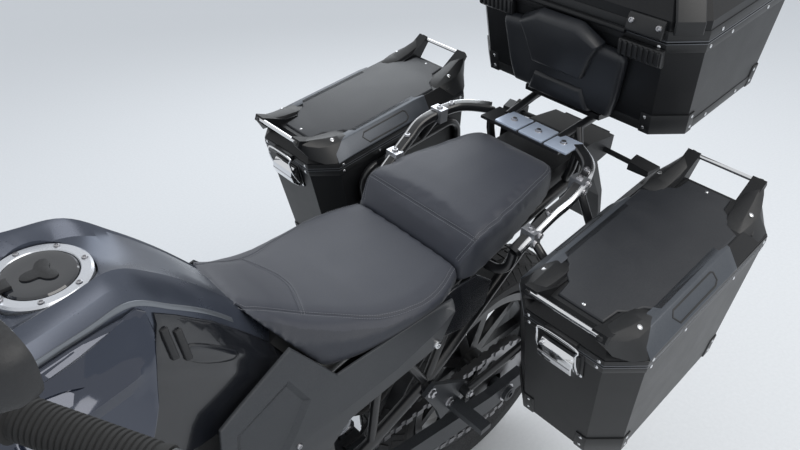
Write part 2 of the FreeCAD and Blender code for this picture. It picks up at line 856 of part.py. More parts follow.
def engine():
    """Parallel twin with its outer covers and the output sprocket."""
    wide = 118.0
    case = [(716, 284), (880, 284), (938, 330), (938, 430), (890, 500), (716, 500)]
    gearbox = [(600, 350), (640, 290), (720, 284), (720, 500), (640, 520), (604, 490)]
    head = [(772, 645), (918, 632), (935, 720), (905, 756), (800, 764)]
    fins = [
        slab_y([(730 + 5 * i, z), (888 + 5 * i, z - 4), (890 + 5 * i, z + 4), (731 + 5 * i, z + 8)], -117, 117)
        for i, z in enumerate(range(520, 631, 22))
    ]
    # x, z, radius, where it starts and ends across the engine
    covers = [
        (815, 385, 78, wide - 2, wide + 38),
        (815, 385, 52, wide + 30, wide + 48),
        (764, 395, 76, -wide + 2, -wide - 40),
        (764, 395, 58, -wide - 38, -wide - 50),
        (870, 360, 52, -wide + 2, -wide - 30),
    ]
    rounds = [rod((x, start, z), (x, end, z), radius) for x, z, radius, start, end in covers]
    lug = S.plate_inner - S.fit_gap
    rounds.append(rod((620, -lug, 500), (620, lug, 500), 12))
    rounds.append(rod((930, 0, 360), (955, 0, 356), 34))
    mounts = both(box((930, 76, 380), (957 - S.cradle_radius - S.fit_gap, 92, 420)))
    ports = both(rod(PORT - PORT_OUT * 27, PORT, 26))
    output = sprocket(S.front_teeth, vec(S.output_x, 0, S.output_z), 70.0, 16.0)
    guard = slab_y([(606, 345), (650, 330), (712, 340), (716, 470), (640, 476), (604, 450)], 108, wide)
    posts = [rod((712, 60, 345), (712, 112, 345), 9), rod((640, 60, 474), (640, 112, 466), 7)]
    blocks = [
        slab_y(case, -wide, wide),
        slab_y(gearbox, -102, 72),
        slab_y([(735, 495), (880, 495), (915, 640), (775, 655)], -112, 112),
        slab_y(head, -116, 116),
    ]
    keep("engine", fuse(blocks + fins + rounds + mounts + ports + [output, guard] + posts))


def exhaust():
    """Two headers, a collector and the raised silencer on the right."""
    radius = 19
    start = PORT + PORT_OUT * S.fit_gap
    low = S.skid_height + radius - 6
    pipe = tube(
        [
            start,
            start + PORT_OUT * 60,
            (988, 42, 440),
            (962, 36, low + 8),
            (880, 24, low),
            (570, 24, low),
        ],
        radius,
    )
    collector = slab_y([(478, 240), (578, 238), (584, 300), (492, 310)], -72, 62)
    link = tube([(520, -60, 275), (505, -130, 282), (470, -176, 306), (425, -196, 358)], 24)
    inlet = vec(440, -196, 352)
    end = vec(20, -214, 472)
    line = end - inlet
    line.normalize()
    can = 56
    silencer = [
        rod(inlet + line * 25, end, can),
        Part.makeCone(28, can, 40, inlet - line * 14, line),
        Part.makeCone(can, 40, 26, end - line, line),
    ]
    outlet = rod(end - line * 60, end + line * 60, 22)
    strap_face = -HANGER_FACE - 10 - GAP
    strap = slab_y([(205, 455), (262, 452), (262, 492), (235, 496)], strap_face - 10, strap_face)
    keep("exhaust", fuse(both(pipe) + [collector, link, strap] + silencer).cut(outlet))


def radiator():
    """Core between two end tanks, with its fan and a hanger to the frame tube."""
    core = slab_y([(1035, 560), (1070, 550), (1110, 770), (1075, 782)], -150, 150)
    tank = slab_y([(1031, 555), (1075, 543), (1117, 775), (1073, 788)], 146, 160)
    fan = rod((1062, 50, 682), (1034, 50, 687), 84)
    hangers = both(box((1070, 42, 774), (1090, 56, 836)))
    solid = fuse([core, fan] + both(tank) + hangers).cut(fuse(both(cradle_tube(GAP))))
    keep("radiator", biggest(solid))


def skid_plate():
    """Alloy plate under the engine on four posts."""
    top = S.skid_height - 10
    plate = [
        (600, top - 6),
        (947, top - 6),
        (1024, 296),
        (1048, 400),
        (1042, 402),
        (1018, 299),
        (943, top),
        (600, top),
    ]
    under = S.skid_height - S.fit_gap
    posts = [rod((x, y, top - 3), (x, y, under), 10) for x, y in ((700, 107), (880, 90))]
    keep("skid_plate", fuse([slab_y(plate, -128, 128)] + both(posts[0]) + both(posts[1])))


# Bodywork
def joint_cut(side):
    """The half space in front of (1) or behind (-1) the seat and tank joint."""
    slope = math.radians(S.joint_slope)
    ahead = vec(math.sin(slope), 0, -math.cos(slope))
    block = Part.makeBox(1200, 1200, 2400, vec(0, -600, -1200))
    start = vec(S.joint_x, 0, S.joint_z) - ahead * (S.fit_gap / 2 * side)
    block.Placement = Placement(start, Rotation(ALONG, ahead * side))
    return block


def biggest(shape):
    return max(shape.Solids, key=lambda s: s.Volume)


def section(x, half):
    """A whole ring from the left half of a section, listed from the middle below to the top."""
    return [(x, y, z) for y, z in half] + [(x, -y, z) for y, z in reversed(half)]


def shell_ring(x, points, wall):
    """A thin band's ring from its outer line, listed from the top down."""
    return [(x, y, z) for y, z in points] + [(x, y - wall, z) for y, z in reversed(points)]


# x, then (half width, height) of the gloss panel's outer face, from its top edge down
FAIRING = [
    (760, (99, 1058), (127, 1000), (150, 930), (150, 860)),
    (800, (103, 1072), (134, 1000), (165, 930), (160, 840)),
    (870, (121, 1074), (152, 1010), (196, 920), (180, 760)),
    (950, (137, 1073), (167, 1010), (215, 920), (196, 680)),
    (1040, (150, 1040), (172, 1000), (222, 910), (205, 600)),
    (1130, (152, 1005), (178, 975), (218, 890), (205, 600)),
    (1240, (152, 955), (176, 940), (200, 880), (196, 640)),
]

# x, then (half width, height) of the crest, the top edge, the flank and the floor; the last is the middle
TANK = [
    (590, (50, 885), (74, 862), (96, 830), (96, 800), 885),
    (640, (50, 950), (78, 925), (102, 880), (102, 795), 950),
    (690, (52, 1010), (86, 985), (108, 930), (106, 795), 1010),
    (740, (56, 1060), (92, 1030), (112, 960), (106, 795), 1052),
    (790, (66, 1098), (96.7, 1068), (116, 990), (106, 795), 1072),
    (850, (80, 1100), (110.5, 1071), (122, 1000), (106, 805), 1073),
    (937, (96, 1098), (129.1, 1073), (136, 1000), (105, 865), 1073),
    (1010, (96, 1085), (126, 1058), (130, 1000), (92, 905), 1066),
    (1035, (84, 1062), (110, 1036), (116, 990), (80, 920), 1050),
]


def fuel_tank():
    """Solid tank with its ridged cover; the filler ring sits in the dip between the ridges."""
    rings = []
    for x, crest, edge, flank, floor, middle in TANK:
        dip = (0.72 * crest[0], middle)
        rings.append(section(x, [floor, flank, edge, crest, dip]))
    solid = loft(rings).cut(joint_cut(-1)).cut(fuse(both(spar_tube(GAP))))
    top = vec(S.cap_x, 0, S.cap_z)
    ring = rod(top - UP * 30, top, S.ring_radius)
    above = rod(top, top + UP * 40, S.ring_radius + 2)
    well = rod(top - UP * (S.cap_thick - 2 + S.fit_gap), top + UP, S.cap_radius + S.lid_gap * 1.5)
    neck = rod(top - UP * S.neck_depth, top, S.neck_radius)
    hinge = cap_hinge()
    ears = both(rod(hinge + LEFT * (CAP_BARREL + S.fit_gap), hinge + LEFT * (CAP_BARREL + 7), 4))
    feet = both(
        box(
            (hinge.x - 4, CAP_BARREL + S.fit_gap, S.cap_z - 1),
            (hinge.x + 4, CAP_BARREL + 7, hinge.z),
        )
    )
    solid = fuse([solid.cut(above), ring]).cut(well).cut(neck)
    keep("fuel_tank", biggest(fuse([solid] + ears + feet)))


CAP_BARREL = 10.0


def cap_hinge():
    """Middle of the filler cap's hinge barrel, ahead of the cap."""
    return vec(S.cap_x + S.cap_radius + 7, 0, S.cap_z + 5)


def filler_cap():
    top = vec(S.cap_x, 0, S.cap_z + 2)
    hinge = cap_hinge()
    lid = rod(top - UP * S.cap_thick, top, S.cap_radius)
    arm = box((S.cap_x + S.cap_radius - 12, -CAP_BARREL, S.cap_z + 1.4), (hinge.x, CAP_BARREL, hinge.z + 3))
    barrel = rod(hinge - LEFT * CAP_BARREL, hinge + LEFT * CAP_BARREL, 4)
    keep("filler_cap", fuse([lid, arm, barrel]))


def side_fairings():
    """Glossy side panels from the tank edge down past the radiator."""
    side_outline = [
        (770, 1100),
        (770, 1025),
        (800, 950),
        (850, 880),
        (930, 790),
        (1010, 640),
        (1080, 600),
        (1200, 700),
        (1240, 860),
        (1200, 960),
        (1100, 1100),
    ]
    band = loft([shell_ring(x, points, S.panel_wall) for x, *points in FAIRING])
    keep("side_fairings", group(both(biggest(band.common(slab_y(side_outline, 60, 260))))))


def knee_panels():
    """Dark recessed panels between the tank's rear edge and the side covers."""
    wall = float(S.panel_wall)
    reach = wall + S.fit_gap
    rings = []
    for x, _, edge, flank, _, _ in TANK[:6]:
        low = (flank[0] + reach + 12, 800)
        points = [(edge[0] + reach, edge[1]), (flank[0] + reach, flank[1]), low]
        rings.append(shell_ring(x, points, wall))
    side_outline = [(560, 790), (596, 1100), (768, 1100), (768, 1030), (800, 958), (848, 890), (848, 801)]
    band = loft(rings).common(slab_y(side_outline, 40, 200))
    panel = band.cut(joint_cut(-1)).cut(spar_tube(GAP))
    keep("knee_panels", group(both(biggest(panel))))


def side_covers():
    """Satin frame covers under the seat edge."""
    # height, outer face from the centre plane
    profile = [(905, 126), (850, 146), (SKIRT, 166), (740, 176), (700, 178), (620, 172)]
    side_outline = [
        (599, 891),
        (735, 838),
        (765, 740),
        (700, 640),
        (590, 630),
        (525, 705),
        (316, 732),
        (279, SKIRT - GAP),
        (538, SKIRT - GAP),
    ]
    wall = float(S.panel_wall)
    line = [(y, z) for z, y in profile] + [(y - wall, z) for z, y in reversed(profile)]
    band = slab_x(line, 200, 800)
    panel = band.common(slab_y(side_outline, 60, 260)).cut(spar_tube(GAP))
    keep("side_covers", group(both(biggest(panel))))


# Lower edge of the seat skirts
SKIRT = 812.0

# x, half width of the top, top height, half width of the skirt, skirt foot
RIDER_SEAT = [
    (S.seat_split + S.fit_gap, 128, 846, 140, SKIRT),
    (300, 150, 838, 163, SKIRT),
    (360, 156, 836, 168, SKIRT),
    (430, 138, 840, 164, SKIRT),
    (500, 100, 862, 156, SKIRT),
    (560, 78, 892, 140, 822),
    (620, 66, 934, 112, 850),
    (668, 60, 968, 84, 900),
]


def rider_seat():
    rings = []
    for x, wide, top, skirt, foot in RIDER_SEAT:
        shoulder = (wide + (skirt - wide) * 0.35, top - 22)
        base = min(104, skirt - 16)
        half = [(base, seat_floor(x)), (skirt - 14, foot), (skirt, foot), shoulder, (wide, top - 4)]
        rings.append(section(x, half + [(wide * 0.5, top)]))
    keep("rider_seat", biggest(loft(rings).cut(joint_cut(1))))


# x, half width of the top, top height, half width of the foot
PILLION_SEAT = [
    (S.seat_split, 128, 848, 138),
    (200, 142, 898, 148),
    (100, 132, 908, 140),
    (-40, 106, 912, 112),
    (-82, 84, 904, 92),
]


def pillion_seat():
    rings = []
    for x, wide, top, foot in PILLION_SEAT:
        half = [(foot, seat_floor(x)), (wide + 2, top - 20), (wide - 6, top - 4), (wide * 0.5, top)]
        rings.append(section(x, half))
    rings.reverse()
    keep("pillion_seat", loft(rings))


# Inside of the nose cowl's front wall, where the frame's stay ends
NOSE_WALL = HEAD_X + 195


def nose():
    """Nose cowl with its beak, the headlight, the windscreen and the dials."""
    shift = HEAD_X - 1197.6
    # x, half width, low z, top z, half width of the top
    sections = [
        (1305, 150, 905, 1048, 120),
        (1400, 138, 900, 1048, 112),
        (1470, 104, 900, 1020, 84),
        (1500, 84, 900, 985, 60),
    ]
    rings = [
        section(x + shift, [(wide * 0.8, low), (wide, (low + top) / 2), (top_wide, top)])
        for x, wide, low, top, top_wide in sections
    ]
    wall = NOSE_WALL + GAP - shift
    side = [(wall, 96), (1345, 112), (1295, 119)]
    hollow = slab_z(
        [(x + shift, -y) for x, y in reversed(side)] + [(x + shift, y) for x, y in side],
        880,
        1018,
    )
    pocket = box((1440 + shift, -75, 915), (1520 + shift, 75, 985))
    # x, half width, low z, top z
    beak = [(1450, 80, 886, 901), (1580, 46, 850, 862), (1650, 14, 822, 828)]
    beak_rings = [section(x + shift, [(wide, low), (wide - 8, top)]) for x, wide, low, top in beak]
    keep("nose_cowl", fuse([loft(rings).cut(hollow).cut(pocket), loft(beak_rings)]))
    lens = [
        [(1440.3, -74, 916), (1440.3, 74, 916), (1440.3, 74, 984), (1440.3, -74, 984)],
        [(1505, -66, 918), (1505, 66, 918), (1490, 56, 982), (1490, -56, 982)],
    ]
    keep("headlight", loft([[(x + shift, y, z) for x, y, z in ring] for ring in lens]))
    # height, x, half width
    screen = [(1048 + GAP, 1395, 112), (1140, 1352, 138), (1260, 1285, 132), (1350, 1222, 88)]
    rings = []
    for z, x, wide in screen:
        front = [(0, wide * 0.5), (-34, wide)]
        line = [(dx, y) for dx, y in reversed(front)] + [(dx, -y) for dx, y in front]
        ring = [(x + shift + dx, y, z) for dx, y in line]
        ring += [(x + shift + dx - 5, y, z) for dx, y in reversed(line)]
        rings.append(ring)
    keep("windscreen", loft(rings))
    dash = [(1272, 1066), (1304, 1056), (1312, 1132), (1288, 1142)]
    leg = [(1272, 990 + GAP), (1298, 990 + GAP), (1298, 1080), (1276, 1080)]
    solids = [slab_y([(x + shift, z) for x, z in p], -half, half) for p, half in ((dash, 80), (leg, 15.7))]
    keep("instrument", fuse(solids))


def tail():
    """Tail unit under the carrier, with its mudguard flap and lamps."""
    behind = float(seat_floor(-95) - GAP)
    front = float(seat_floor(100) - GAP)
    core = [
        (100, 770),
        (-200, 812),
        (-320, 838),
        (-330, 838),
        (-330, 880),
        (-230, 892),
        (-95, 880),
        (-95, behind),
        (100, front),
    ]
    flap = [(-300, 842), (-380, 700), (-412, 590), (-404, 586), (-368, 690), (-270, 835)]
    solid = fuse([slab_y(core, -80, 80), slab_y(flap, -60, 60)])
    keep("tail_unit", biggest(solid.cut(cross_tube(TAIL_CROSS, 120, GAP))))
    light = box((-346, -60, 845), (-330 - GAP, 60, 875))
    stalk = rod((-300, 80 + GAP, 855), (-300, 150, 852), 6)
    pod = loft(
        [
            [(-318, 148, 838), (-318, 210, 842), (-318, 206, 862), (-318, 148, 866)],
            [(-284, 150, 842), (-284, 200, 844), (-284, 198, 858), (-284, 150, 862)],
        ]
    )
    keep("rear_lamps", group([light] + both(fuse([stalk, pod]))))


# Route of a grab rail, from its front foot round to the rear
GRAB_RAIL = [(137, 174, 846), (60, 184, 893), (5, 190, 918), (-76, 168, 935), (-122, 112, 938)]


def grab_rails():
    """Round grab rails with their feet on the rear frame."""
    rail = tube(GRAB_RAIL, 10, 40)
    front_foot = tube([GRAB_RAIL[0], (146, 164, 797), (150, 100, 797)], 10, 20)
    rear_foot = rod((-122, 113, 938), (-122, 98, 846), 9)
    solids = []
    for piece in (front_foot, rear_foot):
        solids.append(biggest(piece.cut(upper_rail(GAP))))
    keep("grab_rails", group(both(fuse([rail] + solids))))


# Luggage
def case_place(side):
    """Where a side case sits: seam middle, nose down."""
    return Placement(vec(S.case_x, side * S.case_y, S.case_z), Rotation(LEFT, float(S.case_pitch)))


def case_ring(length, width, corner, z, x=0.0, y=0.0):
    """Outline of a box with cut corners."""
    a = length / 2
    b = width / 2
    c = corner
    left = [(a, b - c), (a - c, b), (c - a, b), (-a, b - c)]
    corners = left + [(px, -py) for px, py in reversed(left)]
    return [(px + x, py + y, z) for px, py in reversed(corners)]


def side_case():
    """Shell and lid of the left case, in the case's own frame with Y outward."""
    wall = S.case_wall
    seam = S.lid_gap / 2
    high = S.case_lid_height
    corner = S.case_corner

    def shell_section(inset, z, share):
        side = S.case_side_draft * share
        length = S.case_length - 2 * inset - 2 * S.case_draft * share
        return case_ring(length, S.case_width - 2 * inset - side, corner - inset * 0.4, z, 0, -side / 2)

    outer = loft([shell_section(0, -seam, 0), shell_section(0, -S.case_depth, 1)])
    inner = loft([shell_section(wall, 1.0, 0), shell_section(wall, wall - S.case_depth, 1)])
    lid_outer = loft(
        [
            case_ring(S.case_length, S.case_width, corner, seam),
            case_ring(S.case_length, S.case_width, corner, 16),
            case_ring(S.case_length - 56, S.case_width - 50, corner - 8, high),
        ]
    )
    lid_inner = loft(
        [
            case_ring(S.case_length - 2 * wall, S.case_width - 2 * wall, corner - 2, seam - 1),
            case_ring(S.case_length - 2 * wall, S.case_width - 2 * wall, corner - 2, 14),
            case_ring(S.case_length - 60, S.case_width - 54, corner - 10, high - wall),
        ]
    )
    end = S.case_length / 2
    # how far before the case's end, height over the seam
    profile = [(86, 34), (31, 14), (-16, 66), (-10, 78), (46, 48), (86, 43)]
    brackets = []
    for way in (1, -1):
        points = [(way * (end - back), z) for back, z in profile]
        brackets += both(slab_y(points, 50, 76))
        brackets.append(rod((way * (end + 10), -60, 70), (way * (end + 10), 60, 70), S.rod_radius))
    lid = fuse([lid_outer.cut(lid_inner)] + brackets + hinge_half(end, seam, True))
    shell = fuse([outer.cut(inner)] + hinge_half(end, seam, False))
    return shell, lid


HINGE_RADIUS = 5.0


def hinge_line(end):
    """Where a case's hinge pin runs, behind its rear wall."""
    return -(end + HINGE_RADIUS + GAP)


def hinge_half(end, seam, on_lid):
    """Barrels and leaf of a case hinge: the middle ones on the lid, the outer ones on the shell."""
    x = hinge_line(end)
    if on_lid:
        barrel = rod((x, -34, 0), (x, 34, 0), HINGE_RADIUS)
        return [barrel, box((x, -34, seam), (-end + 2, 34, HINGE_RADIUS))]
    barrel = rod((x, 34 + GAP, 0), (x, 66, 0), HINGE_RADIUS)
    return both(fuse([barrel, box((x, 34 + GAP, -HINGE_RADIUS), (-end + 2, 66, -seam))]))


def side_cases():
    shell, lid = side_case()
    end = S.case_length / 2
    lean = S.case_draft / S.case_depth

    def face(z):
        return end + lean * z + S.fit_gap

    outline = [(face(-8), -8), (end + 15, -8), (end + 25, -34), (end + 13, -62), (face(-62), -62)]
    latch = slab_y(outline, -42, 42)
    for piece in (shell, lid, latch):
        piece.Placement = case_place(1)
    keep("side_case_shells", group(both(shell)))
    keep("side_case_lid_left", lid)
    keep("side_case_lid_right", mirror(lid))
    keep("side_case_latches", group(both(latch)))


def top_place():
    return Placement(vec(S.top_x, 0, S.top_z), Rotation(LEFT, float(S.top_pitch)))


def top_case():
    """Top case with its lid hinged at the front, and the passenger's backrest on its front wall."""
    wall = S.case_wall
    seam = S.lid_gap / 2
    length = S.top_length
    high = S.top_lid_height
    corner = S.top_corner
    middle = -length / 2

    def shell_section(inset, z, share):
        wide = S.top_width - 2 * inset - 20 * share
        return case_ring(length - 2 * inset - 60 * share, wide, corner - inset * 0.4, z, middle)

    def crown(inset, z):
        return case_ring(length - 70 - inset, S.top_width - 70 - inset, corner - 8, z, middle)

    shell = loft([shell_section(0, -seam, 0), shell_section(0, -S.top_depth, 1)]).cut(
        loft([shell_section(wall, 1, 0), shell_section(wall, wall - S.top_depth, 1)])
    )
    lid = loft([shell_section(0, seam, 0), shell_section(0, 40, 0), crown(0, high)]).cut(
        loft([shell_section(wall, seam - 1, 0), shell_section(wall, 38, 0), crown(6, high - wall)])
    )
    x = HINGE_RADIUS + S.fit_gap
    lid_barrel = [
        rod((x, -90, 0), (x, 90, 0), HINGE_RADIUS),
        box((-2, -90, seam), (x, 90, HINGE_RADIUS)),
    ]
    shell_barrel = fuse(
        [rod((x, 90 + GAP, 0), (x, 130, 0), HINGE_RADIUS), box((-2, 90 + GAP, -HINGE_RADIUS), (x, 130, -seam))]
    )
    pad_outline = [
        (170, -30),
        (170, -100),
        (120, -165),
        (-120, -165),
        (-170, -100),
        (-170, -30),
        (-80, -14),
        (80, -14),
    ]
    backrest = slab_x(pad_outline, 0, 30)
    backrest.rotate(vec(0, 0, -seam), LEFT, math.degrees(math.atan2(30, S.top_depth - seam)))
    backrest.translate(vec(S.fit_gap * 1.02, 0, 0))
    for name, shape in (
        ("top_case_shell", fuse([shell] + both(shell_barrel))),
        ("top_case_lid", fuse([lid] + lid_barrel)),
        ("top_case_backrest", backrest),
    ):
        shape.Placement = top_place().multiply(shape.Placement)
        keep(name, shape)


def carrier():
    """Alloy carrier rails behind the seat and the dark plate that takes the top case."""
    place = top_place()
    top = -S.top_depth - S.fit_gap
    plate = slab_z(
        [(-20, -95), (-20, 95), (-120, 120), (-300, 120), (-330, 60), (-330, -60), (-300, -120), (-120, -120)],
        top - S.plate_depth,
        top,
    )
    plate.Placement = place
    keep("top_case_plate", plate)
    radius = S.rack_radius
    level = top - S.plate_depth - S.fit_gap - radius
    rail = tube(
        [(-120, 66, 939), place.multVec(vec(-24, 72, level)), place.multVec(vec(-322, 72, level))], radius, 60
    )
    upright = tube([(-160, 97, 850), (-160, 97, 906), (-176, 74, 950)], radius, 40)
    bridge = slab_z([(-134, -100), (-72, -100), (-72, 100), (-134, 100)], 936, 942)
    posts = [biggest(upright.cut(upper_rail(GAP)))]
    keep("rear_carrier", fuse([bridge] + both(rail) + both(posts[0])))


# Middles of the carrier clamps on each grab rail
CLAMPS = [(100, 178.8, 868.6), (-30, 180.5, 925.4)]


def clamp_box(middle, extra=0.0):
    x, y, z = middle
    low = (x - 11 - extra, y - 15 - extra, z - 15 - extra)
    return box(low, (x + 11 + extra, y + 16 + extra, z + 15 + extra))


def racks():
    """Side case carriers, held by alloy clamps on the grab rails and by the passenger hangers."""
    radius = S.rack_radius
    y = S.case_y - S.case_width / 2 - radius - S.fit_gap
    hoop = tube([(118, y, 652), (150, y, 822), (-150, y, 858), (-172, y, 700), (-60, y, 652)], radius, 40)
    links = [rod((-68, y, 652), (124, y, 655), radius)]
    for x, z in ((100, 828), (-30, 843)):
        middle = next(c for c in CLAMPS if c[0] == x)
        links.append(rod((x, y, z), middle, 8))
    face = HANGER_FACE + 10 + GAP
    links.append(rod((118, y, 655), (215, face + 8, 528), 8))
    links.append(rod((215, face, 528), (215, face + 18, 528), 12))
    holes = [clamp_box(middle, GAP) for middle in CLAMPS]
    keep("side_case_racks", group(both(biggest(fuse([hoop] + links).cut(fuse(holes))))))
    rail = tube(GRAB_RAIL, 10 + GAP, 40)
    clamps = [clamp_box(middle).cut(rail) for middle in CLAMPS]
    keep("rack_clamps", group([s for clamp in clamps for s in both(clamp)]))


def footrests():
    """Rider and passenger pegs on their hangers, with the foot levers."""
    face = S.plate_inner + S.plate_thick + S.fit_gap
    plate = slab_y([(545, 350), (600, 340), (612, 392), (560, 420)], face, face + 10)
    peg = box((560, face + 8, 356), (592, face + 100, 372))
    shift = tube([(600, 157, 384), (690, 160, 392), (750, 166, 376)], 6)
    toe = rod((748, 162, 376), (748, 200, 376), 7)
    brake = tube([(600, -157, 380), (660, -180, 372), (760, -182, 362)], 6)
    pad_plate = slab_y([(740, 362), (776, 356), (776, 366), (740, 372)], -200, -176)
    hanger = slab_y(
        [(205, 540), (235, 490), (275, 480), (290, 520), (330, 590), (305, 606)], HANGER_FACE, HANGER_FACE + 10
    )
    rear_peg = box((228, HANGER_FACE + 8, 498), (256, HANGER_FACE + 98, 512))
    rider = fuse([plate, peg])
    solids = [fuse([rider, shift, toe]), fuse([mirror(rider), brake, pad_plate])]
    keep("footrests", group(solids + both(fuse([hanger, rear_peg]))))


def rear_mudguard():
    """Hugger over the tyre on two feet on the swingarm brace."""
    gap = REAR_AXLE.z + 24
    hugger = slab_y(arc_band(REAR_AXLE, gap, gap + 5, 24, 88, 6), -79, 79)
    foot = [(303, 496), (317.5, 463), (378, 404 + GAP), (430, 404 + GAP)]
    foot += [(430, 410), (385, 414), (330, 470), (308, 500)]
    keep("rear_mudguard", fuse([hugger] + both(slab_y(foot, 40, 48))))


def rear_caliper():
    """Caliper over the rear disc on its bracket on the right arm."""
    disc = float(S.rear_disc_place)
    slot = S.disc_thick / 2 + S.disc_gap
    face = S.arm_inner - S.fit_gap
    block = slab_y(arc_band(REAR_AXLE, 88, 142, 18, 46, 3), disc - 13, face - 6)
    groove = slab_y(arc_band(REAR_AXLE, 80, 129, 10, 54, 4), disc - slot, disc + slot)
    bracket = slab_y([(40, 330), (130, 330), (150, 366), (118, 420), (96, 424), (84, 392)], face - 8, face)
    keep("rear_caliper", mirror(fuse([block.cut(groove), bracket])))


# Steering
def yoke(height, thick):
    """One fork yoke, square to the steering axis."""
    ahead = FORK_OFFSET
    side = float(S.fork_spread)
    half = [(-24, 22), (ahead - 24, side + 24), (ahead + 8, side + 34), (ahead + 34, side + 8), (60, 30)]
    points = half + [(x, -y) for x, y in reversed(half)]
    plate = slab_z(points, -thick / 2, thick / 2)
    plate.Placement = Placement(axis_point(height), Rotation(LEFT, -float(S.rake_angle)))
    return plate


def fork_yokes():
    high = axis_point(S.high_yoke)
    foot = high + STEER_UP * 9 - STEER_AHEAD * 8
    risers = both(rod(foot + LEFT * S.riser_spread, vec(S.bar_x - 4, S.riser_spread, S.bar_z + 12), 17))
    stem = rod(axis_point(S.low_yoke), high + STEER_UP * 16, S.stem_radius)
    solid = fuse([yoke(S.high_yoke, 22), yoke(S.low_yoke, 30), stem] + risers)
    hole = rod(fork_point(700), fork_point(1150), S.fork_radius + S.fit_gap)
    keep("fork_yokes", biggest(solid.cut(fuse(both(hole))).cut(handlebar_tube(GAP))))


def fork_legs():
    """Fork legs with the hollow front spindle and the caliper brackets."""
    axle = FRONT_AXLE + LEFT * S.fork_spread
    face = caliper_face() + GAP
    x, z = FRONT_AXLE.x, FRONT_AXLE.z
    bracket = [(x - 25, z + 101), (x - 15, z + 31), (x - 115, z + 36), (x - 120, z + 81)]
    leg = [
        rod(fork_point(S.high_yoke + 24), fork_point(S.slider_top - 4), S.fork_radius),
        rod(fork_point(S.slider_top), axle, S.slider_radius),
        rod(axle - LEFT * 26, axle + LEFT * 26, 24),
        rod(FRONT_AXLE + LEFT * (S.front_hub_width / 2 + S.fit_gap), axle, 15),
        slab_y(bracket, face, face + 10),
    ]
    half = front_spindle_half()
    spindle = rod(FRONT_AXLE - LEFT * half, FRONT_AXLE + LEFT * half, S.axle_radius)
    bore = rod(FRONT_AXLE - LEFT * 200, FRONT_AXLE + LEFT * 200, S.axle_bore)
    keep("fork_legs", fuse(both(fuse(leg)) + [spindle]).cut(bore))


def caliper_face():
    """Outer side of the front calipers."""
    return float(S.front_disc_place) + 19.7


def front_calipers():
    disc = float(S.front_disc_place)
    slot = S.disc_thick / 2 + S.disc_gap
    block = slab_y(arc_band(FRONT_AXLE, 112, 178, 137, 173, 3), disc - 12, caliper_face())
    groove = slab_y(arc_band(FRONT_AXLE, 100, 158, 125, 185, 4), disc - slot, disc + slot)
    keep("front_calipers", group(both(block.cut(groove))))


# Corners of the handlebar's left half, from the end to the middle
BAR_HALF = [
    (S.bar_x - 99, S.bar_reach, S.bar_z + 72),
    (S.bar_x - 57, S.bar_reach - 134, S.bar_z + 68),
    (S.bar_x - 40, S.bar_reach - 175, S.bar_z + 62),
    (S.bar_x, 95, S.bar_z),
]


def handlebar_tube(extra=0.0):
    right = [(x, -y, z) for x, y, z in reversed(BAR_HALF)]
    return tube(BAR_HALF + right, S.bar_radius + extra)


def hand_pieces():
    """Handlebar, grips, hand controls and mirrors."""
    keep("handlebar", handlebar_tube())
    end = vec(*BAR_HALF[0])
    line = end - vec(*BAR_HALF[1])
    line.normalize()
    root = end - line * (S.grip_length + 4)
    hole = handlebar_tube(GAP)
    grip = rod(root, end + line * 6, S.grip_radius).cut(hole)
    keep("grips", group(both(grip)))
    housing = rod(root - line * 40, root - line * 2, S.grip_radius + 4)
    clamp = root - line * 24
    lever = tube(
        [
            clamp + ALONG * 14,
            clamp + ALONG * 50 + LEFT * 8,
            clamp + ALONG * 46 + line * 60,
            clamp + ALONG * 40 + line * 140,
        ],
        6,
        25,
    )
    control = fuse([housing, lever]).cut(hole)
    base = clamp - line * 12
    pot = mirror(rod(base + vec(6, 0, 14), base + vec(10, 0, 50), 20))
    keep("hand_controls", group([control, fuse([mirror(control), pot]).cut(hole)]))
    foot = clamp + line * 14 + UP * (S.grip_radius + 5.6)
    glass = clamp + vec(30, 90, 176)
    stalk = tube([foot, foot + vec(2, 10, 60), glass + vec(0, -20, -10)], 5, 30)
    face = [(-62, -26), (62, -26), (66, 26), (-56, 34)]
    back = [(-44, -16), (44, -16), (46, 18), (-40, 22)]
    head = loft(
        [
            [glass + vec(-14, y, z) for y, z in face],
            [glass + vec(16, y, z) for y, z in back],
        ]
    )
    keep("mirrors", group(both(fuse([stalk, head]))))


def front_mudguard():
    """Guard over the front tyre on stays between the fork legs."""
    gap = FRONT_AXLE.z + 16
    guard = slab_y(arc_band(FRONT_AXLE, gap, gap + 5, 55, 175, 8), -66, 66)
    end = S.fork_spread - S.fork_radius - S.fit_gap
    stay = slab_y(arc_band(FRONT_AXLE, gap + 1, gap + 17, 112, 122, 1), 58, end)
    keep("front_mudguard", fuse([guard] + both(stay)))


def rear_spindle_half():
    """Half the length of the rear spindle, which sticks out of its nuts."""
    return float(S.arm_inner + S.arm_thick + S.nut_thick + 2)


def front_spindle_half():
    """Half the length of the front spindle."""
    return float(S.fork_spread) + 30


# Side stand
def stand_motion():
    """Knuckle middle, the leg's heading out and folded, and the hinge's heading."""
    knuckle = vec(S.stand_x, S.stand_y, S.stand_z)
    out = stand_foot() - knuckle
    out.normalize()
    folded = Vector(-1, 0.05, -0.02)
    folded.normalize()
    hinge = out.cross(folded)
    hinge.normalize()
    return knuckle, out, folded, hinge


def stand_foot():
    """The middle of the stand's foot plate in the bike frame."""
    return STANCE.inverse().multVec(vec(S.stand_foot_x, S.stand_foot_y, S.foot_thick / 2))


